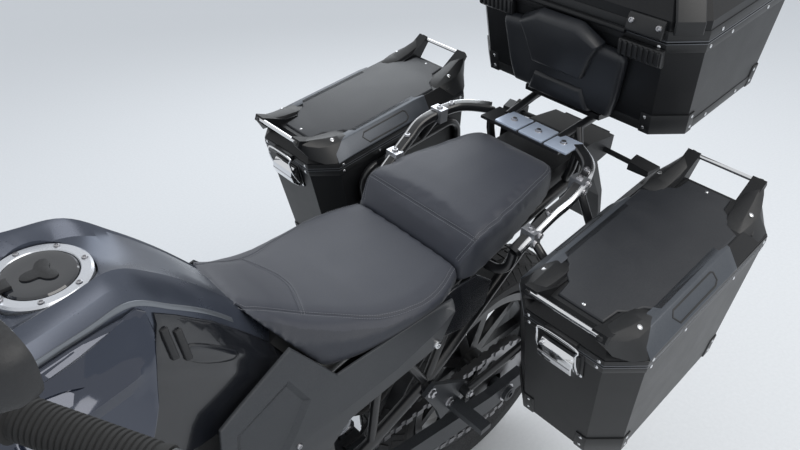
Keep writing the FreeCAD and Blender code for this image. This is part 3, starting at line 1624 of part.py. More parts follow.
def side_stand():
    """Leg on a drilled knuckle, with its flat foot on the ground."""
    down = STANCE.inverse().Rotation.multVec(-UP)
    foot_middle = stand_foot()
    knuckle, out, _, hinge = stand_motion()
    half = S.knuckle_half
    under = foot_middle + down * (S.foot_thick / 2)
    pieces = [
        rod(knuckle + out * 12, foot_middle, S.stand_radius),
        rod(foot_middle - down * (S.foot_thick / 2), under, S.foot_radius),
        rod(knuckle - hinge * half, knuckle + hinge * half, S.knuckle_radius),
    ]
    bore = rod(knuckle - hinge * 40, knuckle + hinge * 40, S.pin_radius + S.fit_gap)
    keep("side_stand", fuse(pieces).cut(bore).cut(rod(under, under + down * 60, 200)))


STEERED_NODES = [
    "fork_yokes",
    "fork_legs",
    "handlebar",
    "grips",
    "hand_controls",
    "mirrors",
    "front_mudguard",
    "front_calipers",
]
FRONT_WHEEL_NODES = ["front_wheel", "front_tyre", "front_discs"]
REAR_WHEEL_NODES = ["rear_wheel", "rear_tyre", "rear_disc"]


def place_nodes():
    """Puts the wheels on their axles, leans everything onto the stand and centres it."""
    for name, node in NODES.items():
        if name in FRONT_WHEEL_NODES:
            node.Placement = Placement(FRONT_AXLE, Rotation()).multiply(node.Placement)
        if name in REAR_WHEEL_NODES:
            node.Placement = Placement(REAR_AXLE, Rotation()).multiply(node.Placement)
        steered = name in STEERED_NODES + FRONT_WHEEL_NODES
        node.Placement = (STEERED if steered else STANCE).multiply(node.Placement)
    doc.recompute()
    reach = FreeCAD.BoundBox()
    for node in NODES.values():
        reach.add(node.Shape.optimalBoundingBox(False))
    shift = Placement(vec(-reach.Center.x, -reach.Center.y, 0), Rotation())
    for node in NODES.values():
        node.Placement = shift.multiply(node.Placement)
    return shift


def write_nodes():
    os.makedirs("parts", exist_ok=True)
    doc.recompute()
    for thing in doc.Objects:
        if {"Invalid", "Error"} & set(thing.State):
            raise RuntimeError(f"{thing.Name} failed")
    for name, node in NODES.items():
        shape = node.Shape
        if shape.isNull() or not shape.isValid() or not shape.Solids:
            raise RuntimeError(f"{name} has no valid shape")
    for name, node in NODES.items():
        node.Shape.exportStep(f"parts/{name}.step")


STEPS = [
    wheels,
    chain,
    rear_sprocket,
    frame,
    rear_frame,
    swingarm,
    shock,
    engine,
    exhaust,
    radiator,
    skid_plate,
    fuel_tank,
    filler_cap,
    side_fairings,
    knee_panels,
    side_covers,
    rider_seat,
    pillion_seat,
    nose,
    tail,
    grab_rails,
    side_cases,
    top_case,
    carrier,
    racks,
    footrests,
    rear_mudguard,
    rear_caliper,
    fork_yokes,
    fork_legs,
    front_calipers,
    hand_pieces,
    front_mudguard,
    side_stand,
]
for step in STEPS:
    step()
doc.recompute()
CENTRED = place_nodes()
write_nodes()
print(f"wrote {len(NODES)} nodes")
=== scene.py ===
"""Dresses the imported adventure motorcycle: bodywork, seats, luggage, rolling gear and a plain studio."""

import json
import logging
import math
from collections.abc import Callable, Iterable, Sequence
from dataclasses import dataclass, field
from enum import Enum
from functools import cache

import bmesh
import bpy
from mathutils import Matrix, Quaternion, Vector
from mathutils.bvhtree import BVHTree
from mathutils.geometry import delaunay_2d_cdt

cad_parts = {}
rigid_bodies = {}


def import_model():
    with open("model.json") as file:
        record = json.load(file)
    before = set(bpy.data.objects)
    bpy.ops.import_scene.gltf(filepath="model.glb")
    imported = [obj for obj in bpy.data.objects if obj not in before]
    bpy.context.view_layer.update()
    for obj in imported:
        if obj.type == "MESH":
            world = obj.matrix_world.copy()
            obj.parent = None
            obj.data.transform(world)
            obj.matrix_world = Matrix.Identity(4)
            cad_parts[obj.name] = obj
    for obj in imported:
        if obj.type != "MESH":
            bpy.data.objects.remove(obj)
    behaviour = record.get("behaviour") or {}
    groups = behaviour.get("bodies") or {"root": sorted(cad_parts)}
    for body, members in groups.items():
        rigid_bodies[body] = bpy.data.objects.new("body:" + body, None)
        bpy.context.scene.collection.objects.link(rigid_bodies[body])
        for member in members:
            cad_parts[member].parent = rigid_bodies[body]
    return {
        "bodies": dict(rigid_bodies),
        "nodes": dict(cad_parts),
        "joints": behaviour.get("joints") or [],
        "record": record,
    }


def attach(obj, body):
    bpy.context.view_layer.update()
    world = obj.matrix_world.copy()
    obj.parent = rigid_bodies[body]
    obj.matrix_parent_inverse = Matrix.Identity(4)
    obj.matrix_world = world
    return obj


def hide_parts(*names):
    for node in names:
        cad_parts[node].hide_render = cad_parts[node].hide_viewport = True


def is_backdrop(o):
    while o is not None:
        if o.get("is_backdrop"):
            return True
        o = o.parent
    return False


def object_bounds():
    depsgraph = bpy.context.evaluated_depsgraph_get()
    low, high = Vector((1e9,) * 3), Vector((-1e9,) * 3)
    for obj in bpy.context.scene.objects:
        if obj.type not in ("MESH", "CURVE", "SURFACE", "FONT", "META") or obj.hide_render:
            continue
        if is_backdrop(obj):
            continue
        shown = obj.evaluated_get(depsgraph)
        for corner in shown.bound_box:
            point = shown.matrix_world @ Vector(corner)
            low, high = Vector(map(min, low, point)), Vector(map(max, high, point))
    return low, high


LOG = logging.getLogger("motorcycle")
MM = 0.001
Point = tuple[float, float, float]
Flat = tuple[float, float]
Piece = bpy.types.Object
Tree = bpy.types.NodeTree
Node = bpy.types.Node
Socket = bpy.types.NodeSocket


class Body(Enum):
    """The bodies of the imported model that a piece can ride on."""

    CHASSIS = "chassis"
    STEERING = "steering"
    FRONT_WHEEL = "front_wheel"
    REAR_WHEEL = "rear_wheel"
    LEFT_LID = "left_case_lid"
    RIGHT_LID = "right_case_lid"
    TOP_LID = "top_lid"
    CAP = "cap"


class Axis(Enum):
    """The axis that a flat outline is pushed along."""

    ALONG = 0
    ACROSS = 1
    UP = 2


def placed(base: Point, quaternion: tuple[float, float, float, float]) -> Matrix:
    """Gives the step from millimetres in a machine frame to metres in the model.

    Args:
        base: The frame's origin in millimetres.
        quaternion: The frame's turn.

    Returns:
        The matrix that also scales to metres.
    """
    return Matrix.Scale(MM, 4) @ Matrix.LocRotScale(Vector(base), Quaternion(quaternion), None)


STAND = placed((-621.5947, -139.6252, 0.4889), (0.9969167, -0.078459, 0.0011451, 0.0000901))
STEER = placed((-587.5033, -464.3369, 68.5976), (0.9866057, -0.1273102, 0.0091162, 0.101579))
FRONT_HUB: Point = (1515.0, 0.0, 329.0)
REAR_HUB: Point = (0.0, 0.0, 321.0)


def tilted(x: float, y: float, z: float, pitch: float) -> Matrix:
    """Gives the frame of a case, nose down by its pitch."""
    return STAND @ Matrix.Translation((x, y, z)) @ Matrix.Rotation(math.radians(pitch), 4, "Y")


def curve_through(values: Sequence[Sequence[float]], steps: int) -> list[tuple[float, ...]]:
    """Runs a smooth line through rows of numbers.

    Args:
        values: The rows that the line passes through.
        steps: How many stretches lie between two rows.

    Returns:
        The rows of the smooth line, the given ones among them.
    """
    rows = [tuple(float(v) for v in row) for row in values]
    padded = [rows[0], *rows, rows[-1]]
    line: list[tuple[float, ...]] = []
    for a, b, c, d in zip(padded, padded[1:], padded[2:], padded[3:]):
        for step in range(steps):
            t = step / steps
            line.append(
                tuple(
                    0.5 * (
                        2 * q + (r - p) * t + (2 * p - 5 * q + 4 * r - s) * t * t
                        + (3 * q - p - 3 * r + s) * t * t * t
                    )
                    for p, q, r, s in zip(a, b, c, d)
                )
            )
    line.append(rows[-1])
    return line


def frames_along(points: Sequence[Vector]) -> list[tuple[Vector, Vector, Vector]]:
    """Gives a heading and two square directions at each point of a line."""
    frames = []
    side = None
    for i in range(len(points)):
        heading = (points[min(i + 1, len(points) - 1)] - points[max(i - 1, 0)]).normalized()
        if side is None:
            side = heading.orthogonal().normalized()
        side = (side - heading * side.dot(heading)).normalized()
        frames.append((heading, side, heading.cross(side)))
    return frames


@dataclass
class Form:
    """A mesh in the making, in millimetres in one of the machine's own frames."""

    name: str
    place: Matrix = field(default_factory=lambda: STAND.copy())
    points: list[Vector] = field(default_factory=list)
    faces: list[tuple[int, ...]] = field(default_factory=list)

    def add(self, points: Iterable[Sequence[float]], faces: Iterable[Sequence[int]]) -> None:
        """Adds loose corners and faces."""
        start = len(self.points)
        self.points += [Vector(p) for p in points]
        self.faces += [tuple(i + start for i in face) for face in faces]

    def skin(
        self, rings: Sequence[Sequence[Sequence[float]]], loop: bool = False, caps: bool = True
    ) -> None:
        """Covers rings of the same number of corners.

        Args:
            rings: Closed rings, in order.
            loop: Whether the last ring joins the first.
            caps: Whether the open ends are closed.
        """
        count = len(rings[0])
        faces: list[tuple[int, ...]] = []
        for k in range(len(rings) if loop else len(rings) - 1):
            a = k * count
            b = ((k + 1) % len(rings)) * count
            for i in range(count):
                j = (i + 1) % count
                faces.append((a + i, a + j, b + j, b + i))
        if caps and not loop:
            last = (len(rings) - 1) * count
            faces.append(tuple(reversed(range(count))))
            faces.append(tuple(last + i for i in range(count)))
        self.add([p for ring in rings for p in ring], faces)

    def prism(self, outline: Sequence[Flat], axis: Axis, low: float, high: float) -> None:
        """Pushes a flat outline along an axis.

        Args:
            outline: The corners, in the two other axes.
            axis: The axis.
            low: Where the outline starts.
            high: Where it ends.
        """
        i = axis.value
        self.skin([[(*p[:i], level, *p[i:]) for p in outline] for level in (low, high)])

    def box(self, low: Sequence[float], high: Sequence[float]) -> None:
        """Adds an upright block between two corners."""
        x, y, z = low
        a, b, c = high
        self.prism([(x, y), (a, y), (a, b), (x, b)], Axis.UP, z, c)

    def sweep(
        self, line: Sequence[Sequence[float]], section: Sequence[Flat], loop: bool = False,
        up: Point | None = None
    ) -> None:
        """Draws a flat section along a line.

        Args:
            line: The points that it follows.
            section: The section, square to the line.
            loop: Whether the line closes on itself.
            up: The direction that the section's second number keeps to, if any.
        """
        points = [Vector(p) for p in line]
        rings = []
        for point, (heading, side, top) in zip(points, frames_along(points)):
            if up is not None:
                side = Vector(up).cross(heading).normalized()
                top = heading.cross(side)
            rings.append([point + side * a + top * b for a, b in section])
        self.skin(rings, loop)

    def tube(
        self, line: Sequence[Sequence[float]], radius: float, sides: int = 12, loop: bool = False
    ) -> None:
        """Draws a round bar along a line."""
        self.sweep(line, circle(radius, sides), loop)

    def rod(self, a: Sequence[float], b: Sequence[float], radius: float, sides: int = 20) -> None:
        """Adds a straight round bar."""
        self.tube([a, b], radius, sides)

    def lathe(
        self, start: Sequence[float], heading: Sequence[float], profile: Sequence[Flat], sides: int = 32
    ) -> None:
        """Turns a profile of (distance, radius) round an axis."""
        axis = Vector(heading).normalized()
        side = axis.orthogonal().normalized()
        top = axis.cross(side)
        rings = [
            [Vector(start) + axis * d + side * (r * a) + top * (r * b) for a, b in circle(1.0, sides)]
            for d, r in profile
        ]
        self.skin(rings)

    def mirrored(self) -> "Form":
        """Adds the same shape on the machine's other side."""
        points = [Vector((p.x, -p.y, p.z)) for p in self.points]
        faces = [tuple(reversed(face)) for face in self.faces]
        self.add(points, faces)
        return self

    def to_mesh(self) -> bpy.types.Mesh:
        """Makes the mesh in metres, with its faces pointing out."""
        mesh = bpy.data.meshes.new(self.name)
        mesh.from_pydata([self.place @ p for p in self.points], [], self.faces)
        work = bmesh.new()
        work.from_mesh(mesh)
        bmesh.ops.remove_doubles(work, verts=work.verts, dist=1e-6)
        bmesh.ops.recalc_face_normals(work, faces=work.faces)
        work.to_mesh(mesh)
        work.free()
        return mesh

    def build(
        self, finish: "Finish", body: Body = Body.CHASSIS, replaces: Sequence[str] = (), bevel: float = 0.0,
        subdivide: int = 0, cut: "Form | None" = None, sharp: float = 32.0, segments: int = 2
    ) -> Piece:
        """Turns the form into a finished piece.

        Args:
            finish: What it is made of.
            body: The body that it rides on.
            replaces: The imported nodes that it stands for.
            bevel: Width in millimetres of its rounded edges.
            subdivide: Levels of smoothing.
            cut: A form that is taken out of it.
            sharp: The angle in degrees past which an edge stays sharp.
            segments: Faces across a rounded edge.

        Returns:
            The piece, at the origin, with its place in its mesh.
        """
        piece = new_object(self.name, self.to_mesh())
        if cut is not None:
            cut_away(piece, cut)
        if subdivide:
            smoother = piece.modifiers.new("smooth", "SUBSURF")
            smoother.levels = subdivide
            smoother.render_levels = subdivide
        if bevel:
            edge = piece.modifiers.new("edges", "BEVEL")
            edge.width = bevel * MM
            edge.segments = segments
            edge.limit_method = "ANGLE"
            edge.angle_limit = math.radians(sharp)
            edge.use_clamp_overlap = True
        if subdivide or bevel:
            apply_all(piece)
        return finished(piece, finish, body, replaces, sharp)


def circle(radius: float, sides: int) -> list[Flat]:
    """Gives the corners of a round section."""
    step = 2 * math.pi / sides
    return [(radius * math.cos(step * i), radius * math.sin(step * i)) for i in range(sides)]


def lozenge(width: float, height: float, corner: float) -> list[Flat]:
    """Gives a box section with cut corners, middle at zero."""
    a, b, c = width / 2, height / 2, corner
    return [
        (a, b - c), (a - c, b), (c - a, b), (-a, b - c), (-a, c - b), (c - a, -b), (a - c, -b), (a, c - b)
    ]


def new_object(name: str, mesh: bpy.types.Mesh) -> Piece:
    """Links a mesh into the scene."""
    piece = bpy.data.objects.new(name, mesh)
    bpy.context.scene.collection.objects.link(piece)
    return piece


def remove_object(piece: Piece) -> None:
    """Takes a helper out of the scene with its mesh."""
    mesh = piece.data
    bpy.data.objects.remove(piece)
    bpy.data.meshes.remove(mesh)


def apply_all(piece: Piece) -> None:
    """Turns what a piece's modifiers make into its own mesh."""
    bpy.context.view_layer.update()
    graph = bpy.context.evaluated_depsgraph_get()
    mesh = bpy.data.meshes.new_from_object(piece.evaluated_get(graph), depsgraph=graph)
    old = piece.data
    piece.modifiers.clear()
    piece.data = mesh
    mesh.name = piece.name
    bpy.data.meshes.remove(old)


def cut_away(piece: Piece, form: Form) -> None:
    """Takes a form out of a piece.

    Args:
        piece: The piece that is cut.
        form: The closed form that goes.
    """
    tool = new_object(form.name, form.to_mesh())
    knife = piece.modifiers.new("knife", "BOOLEAN")
    knife.object = tool
    knife.operation = "DIFFERENCE"
    knife.solver = "EXACT"
    apply_all(piece)
    remove_object(tool)


def finished(
    piece: Piece, finish: "Finish", body: Body, replaces: Sequence[str] = (), sharp: float = 32.0
) -> Piece:
    """Gives a piece its finish, shading and body, and logs it.

    Args:
        piece: The piece.
        finish: What it is made of.
        body: The body that it rides on.
        replaces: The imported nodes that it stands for.
        sharp: The angle in degrees past which an edge stays sharp.

    Returns:
        The same piece.
    """
    mesh = piece.data
    mesh.materials.clear()
    mesh.materials.append(finish.material())
    mesh.shade_smooth()
    mesh.set_sharp_from_angle(angle=math.radians(sharp))
    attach(piece, body.value)
    if replaces:
        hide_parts(*replaces)
    LOG.info("%s: %d faces on %s", piece.name, len(mesh.polygons), body.value)
    return piece


# Shader effects shared by the finishes


def group(
    name: str, inputs: Sequence[tuple[str, str, float | tuple]], outputs: Sequence[tuple[str, str]]
) -> tuple[Tree, Node, Node]:
    """Starts a shader node group.

    Args:
        name: The group's name.
        inputs: Name, socket kind and value of each input.
        outputs: Name and socket kind of each output.

    Returns:
        The tree, its input node and its output node.
    """
    tree = bpy.data.node_groups.new(name, "ShaderNodeTree")
    for label, kind, value in inputs:
        tree.interface.new_socket(
            label, in_out="INPUT", socket_type="NodeSocket" + kind
        ).default_value = value
    for label, kind in outputs:
        tree.interface.new_socket(label, in_out="OUTPUT", socket_type="NodeSocket" + kind)
    return tree, tree.nodes.new("NodeGroupInput"), tree.nodes.new("NodeGroupOutput")


def joined(tree: Tree, kind: str, links: dict, **settings: object) -> Node:
    """Adds a node with its settings and links.

    Args:
        tree: The tree that it goes in.
        kind: The node's type.
        links: Input name or number, and a socket or plain value for each.
        settings: Properties of the node.

    Returns:
        The node.
    """
    node = tree.nodes.new(kind)
    for key, value in settings.items():
        setattr(node, key, value)
    for key, value in links.items():
        if isinstance(value, Socket):
            tree.links.new(value, node.inputs[key])
        else:
            node.inputs[key].default_value = value
    return node


def worked(tree: Tree, operation: str, *values: Socket | float) -> Socket:
    """Adds a sum of two or three values, and gives its result."""
    return joined(tree, "ShaderNodeMath", dict(enumerate(values)), operation=operation).outputs[0]


def place_of(tree: Tree) -> Socket:
    """Gives the place on the piece itself that a pattern reads."""
    return tree.nodes.new("ShaderNodeTexCoord").outputs["Object"]


class Effects:
    """The node groups that several finishes place with their own values, each built on its first use."""

    @staticmethod
    @cache
    def grain() -> Tree:
        """Fine leather or moulded grain: cells with softer waves between them."""
        inputs = [("Scale", "Float", 900.0), ("Softness", "Float", 0.5)]
        tree, take, give = group("grain", inputs, [("Height", "Float")])
        pattern = {"Vector": place_of(tree), "Scale": take.outputs["Scale"]}
        cells = joined(tree, "ShaderNodeTexVoronoi", pattern, feature="SMOOTH_F1").outputs["Distance"]
        waves = joined(tree, "ShaderNodeTexNoise", {**pattern, "Detail": 3.0}).outputs[0]
        mixed = joined(tree, "ShaderNodeMix", {0: take.outputs["Softness"], 2: cells, 3: waves})
        tree.links.new(mixed.outputs[0], give.inputs["Height"])
        return tree

    @staticmethod
    @cache
    def wear() -> Tree:
        """Dust and handling marks: two tones of the colour and a matching roughness."""
        inputs = [
            ("Color", "Color", (0.5, 0.5, 0.5, 1.0)), ("Dust Color", "Color", (0.3, 0.3, 0.3, 1.0)),
            ("Dust", "Float", 0.1), ("Roughness", "Float", 0.5), ("Spread", "Float", 0.1),
            ("Scale", "Float", 14.0)
        ]
        tree, take, give = group("wear", inputs, [("Color", "Color"), ("Roughness", "Float")])
        given = take.outputs
        where = place_of(tree)
        pattern = {"Vector": where, "Scale": given["Scale"], "Detail": 5.0, "Roughness": 0.65}
        large = joined(tree, "ShaderNodeTexNoise", pattern).outputs[0]
        pattern = {"Vector": where, "Scale": 420.0, "Detail": 2.0}
        fine = joined(tree, "ShaderNodeTexNoise", pattern).outputs[0]
        facing = tree.nodes.new("ShaderNodeNewGeometry").outputs["Normal"]
        upward = joined(tree, "ShaderNodeSeparateXYZ", {0: facing}).outputs[2]
        limits = {"From Min": -0.2, "From Max": 1.0, "To Min": 0.35, "To Max": 1.0}
        lying = joined(tree, "ShaderNodeMapRange", {"Value": upward, **limits}).outputs[0]
        limits = {"From Min": 0.15, "From Max": 0.45}
        both = worked(tree, "MULTIPLY", large, fine)
        amount = joined(tree, "ShaderNodeMapRange", {"Value": both, **limits}).outputs[0]
        dusty = worked(tree, "MULTIPLY", worked(tree, "MULTIPLY", amount, lying), given["Dust"])
        tones = {0: dusty, 6: given["Color"], 7: given["Dust Color"]}
        colour = joined(tree, "ShaderNodeMix", tones, data_type="RGBA").outputs[2]
        swing = worked(tree, "MULTIPLY", worked(tree, "SUBTRACT", large, 0.5), given["Spread"])
        rough = worked(tree, "ADD", swing, given["Roughness"])
        tree.links.new(colour, give.inputs["Color"])
        tree.links.new(worked(tree, "MULTIPLY_ADD", dusty, 0.25, rough), give.inputs["Roughness"])
        return tree

    @staticmethod
    @cache
    def brushing() -> Tree:
        """Fine lines of a brushed or ground surface, along one axis."""
        inputs = [("Stretch", "Vector", (3.0, 260.0, 260.0)), ("Scale", "Float", 6.0)]
        tree, take, give = group("brushing", inputs, [("Height", "Float")])
        spread = joined(
            tree, "ShaderNodeVectorMath", {0: place_of(tree), 1: take.outputs["Stretch"]},
            operation="MULTIPLY"
        )
        pattern = {"Vector": spread.outputs[0], "Scale": take.outputs["Scale"], "Detail": 3.0}
        lines = joined(tree, "ShaderNodeTexNoise", pattern)
        tree.links.new(lines.outputs[0], give.inputs["Height"])
        return tree


COAT_ROUGHNESS = 0.04


class Surface(Enum):
    """Which relief a finish has."""

    GRAIN = "grain"
    BRUSHED = "brushing"


@dataclass(frozen=True)
class Finish:
    """One finish of the machine, with its colour, gloss, relief and dust."""

    name: str
    slot: str
    color: tuple[float, float, float]
    roughness: float
    metallic: float = 0.0
    coat: float = 0.0
    sheen: float = 0.0
    surface: Surface = Surface.GRAIN
    scale: float = 900.0
    softness: float = 0.5
    depth: float = 0.0
    dust: float = 0.12
    spread: float = 0.12
    specular: float = 0.5
    transmission: float = 0.0

    def material(self) -> bpy.types.Material:
        """Gives the finish's material, built on its first use."""
        made = bpy.data.materials.get(self.name)
        if made is not None:
            return made
        made = bpy.data.materials.new(self.name)
        made.use_nodes = True
        tree = made.node_tree
        shader = tree.nodes["Principled BSDF"]
        base = (*self.color, 1.0)
        plain = {
            "Metallic": self.metallic, "Coat Weight": self.coat, "Coat Roughness": COAT_ROUGHNESS,
            "Sheen Weight": self.sheen, "Specular IOR Level": self.specular,
            "Transmission Weight": self.transmission
        }
        for label, value in plain.items():
            shader.inputs[label].default_value = value
        dust = tuple(min(0.6, c * 0.5 + 0.2) for c in self.color)
        worn = {"Color": base, "Dust Color": (*dust, 1.0), "Dust": self.dust, "Roughness": self.roughness}
        given = {**worn, "Spread": self.spread}
        marks = joined(tree, "ShaderNodeGroup", given, node_tree=Effects.wear())
        tree.links.new(marks.outputs["Color"], shader.inputs["Base Color"])
        tree.links.new(marks.outputs["Roughness"], shader.inputs["Roughness"])
        if self.depth:
            grain = {
                "Scale": self.scale, "Softness": self.softness
            } if self.surface is Surface.GRAIN else {}
            effect = getattr(Effects, self.surface.value)()
            relief = joined(tree, "ShaderNodeGroup", grain, node_tree=effect)
            height = {"Height": relief.outputs["Height"], "Strength": 1.0, "Distance": self.depth * MM}
            tree.links.new(joined(tree, "ShaderNodeBump", height).outputs[0], shader.inputs["Normal"])
        return made


LEATHER = Finish(
    "seat_leather", "seat", (0.04, 0.043, 0.055), 0.5, sheen=0.03, scale=1500, depth=0.10, dust=0.05,
    specular=0.4
)
# Skirt leather: its coarser grain is real; its tone, a darker copy of the top leather, is painted shade on
# the seat's sides.
SHADED_SKIRT = Finish(
    "seat_skirt_leather", "seat", (0.03, 0.033, 0.042), 0.52, sheen=0.03, scale=760, depth=0.3, dust=0.06,
    specular=0.4
)
THREAD = Finish("seat_thread", "seat", (0.13, 0.135, 0.15), 0.6, scale=3000, depth=0.05)
COVER = Finish(
    "tank_satin", "graphite", (0.07, 0.08, 0.105), 0.28, metallic=0.6, scale=2600, depth=0.01, dust=0.05
)
TRIM = Finish("tank_trim", "graphite", (0.2, 0.215, 0.235), 0.3, metallic=0.7, dust=0.05)
GLOSS = Finish(
    "gloss_lacquer", "gloss_black", (0.024, 0.031, 0.052), 0.07, metallic=0.6, coat=1.0, dust=0.02,
    spread=0.03
)
GRAPHITE = Finish(
    "satin_graphite", "graphite", (0.042, 0.045, 0.05), 0.4, metallic=0.35, scale=1900, depth=0.02
)
PLASTIC = Finish(
    "moulded_plastic", "black_plastic", (0.014, 0.0145, 0.016), 0.52, scale=1100, depth=0.12, dust=0.08
)
FRAME = Finish(
    "frame_paint", "frame_black", (0.009, 0.0093, 0.0105), 0.3, coat=0.35, scale=1500, depth=0.03, dust=0.06
)
CASE = Finish(
    "case_powder_coat", "case_black", (0.0075, 0.008, 0.0092), 0.4, metallic=0.1, scale=2400, depth=0.03,
    dust=0.04, specular=0.35
)
CASE_LID = Finish(
    "case_lid_panel", "case_black", (0.015, 0.0168, 0.021), 0.46, scale=1700, depth=0.06, dust=0.06
)
CASE_TRIM = Finish(
    "case_trim", "case_black", (0.0095, 0.01, 0.011), 0.42, scale=1300, depth=0.08, dust=0.05
)
INSERT = Finish(
    "case_insert", "dark_steel", (0.075, 0.083, 0.096), 0.38, metallic=0.5, scale=1500, depth=0.03
)
CHROME = Finish("chrome", "dark_steel", (0.82, 0.83, 0.85), 0.07, metallic=1.0, dust=0.02, spread=0.04)
ALLOY = Finish("cast_alloy", "alloy", (0.56, 0.57, 0.6), 0.32, metallic=0.9, scale=2200, depth=0.03)
BRIGHT = Finish(
    "machined_alloy", "alloy", (0.72, 0.73, 0.75), 0.22, metallic=1.0, surface=Surface.BRUSHED, depth=0.015,
    dust=0.03
)
STEEL = Finish(
    "bolt_steel", "dark_steel", (0.5, 0.5, 0.52), 0.28, metallic=1.0, surface=Surface.BRUSHED, depth=0.01
)
DARK_STEEL = Finish(
    "ground_steel", "dark_steel", (0.3, 0.3, 0.31), 0.34, metallic=1.0, surface=Surface.BRUSHED, depth=0.02
)
EXHAUST = Finish(
    "exhaust_steel", "exhaust_steel", (0.4, 0.38, 0.36), 0.3, metallic=1.0, surface=Surface.BRUSHED,
    depth=0.02
)
ENGINE = Finish(
    "engine_paint", "engine_black", (0.02, 0.0205, 0.022), 0.46, metallic=0.3, scale=900, depth=0.08,
    dust=0.1
)
SPRING = Finish("spring_paint", "spring", (0.62, 0.63, 0.66), 0.3, coat=0.4, dust=0.15)
FORK = Finish(
    "fork_tube", "fork_gold", (0.42, 0.43, 0.45), 0.24, metallic=1.0, surface=Surface.BRUSHED, depth=0.01
)
RUBBER = Finish("rubber", "rubber", (0.018, 0.018, 0.019), 0.7, scale=1600, depth=0.08, dust=0.2)
PAD = Finish("backrest_skin", "rubber", (0.015, 0.0165, 0.02), 0.38, scale=1000, depth=0.16, dust=0.06)
TYRE = Finish("tyre_rubber", "tyre", (0.017, 0.017, 0.018), 0.78, scale=700, depth=0.15, dust=0.3)
LENS = Finish("clear_lens", "lens", (0.92, 0.94, 0.95), 0.03, transmission=1.0, dust=0.0, spread=0.0)
SCREEN = Finish("tinted_screen", "screen", (0.3, 0.32, 0.35), 0.04, transmission=0.9, dust=0.0, spread=0.0)
RED = Finish("red_lens", "lamp_red", (0.42, 0.015, 0.012), 0.08, coat=1.0, dust=0.05)
AMBER = Finish("amber_lens", "lamp_red", (0.75, 0.24, 0.02), 0.1, coat=1.0, dust=0.05)
MIRROR = Finish("mirror_glass", "lens", (0.85, 0.86, 0.88), 0.02, metallic=1.0, dust=0.0, spread=0.0)
# Pale, lightly metallic lines along the case seams: painted highlight where the seam edges catch the light.
SEAM_HIGHLIGHT = Finish("case_seam_edge", "case_black", (0.11, 0.115, 0.125), 0.3, metallic=0.6, dust=0.03)
RAIL_PLATE = Finish(
    "rail_plate", "alloy", (0.55, 0.62, 0.74), 0.3, metallic=0.35, scale=2600, depth=0.01, dust=0.04
)
KNEE = Finish(
    "knee_plastic", "gloss_black", (0.008, 0.009, 0.012), 0.2, coat=0.6, scale=900, depth=0.06, dust=0.1
)
DISPLAY = Finish("dial_glass", "black_plastic", (0.01, 0.012, 0.016), 0.08, coat=1.0, dust=0.03)
RING = Finish(
    "filler_ring", "alloy", (0.66, 0.68, 0.72), 0.26, metallic=0.75, scale=2600, depth=0.01, dust=0.04
)


# Repeats, as geometry node trees


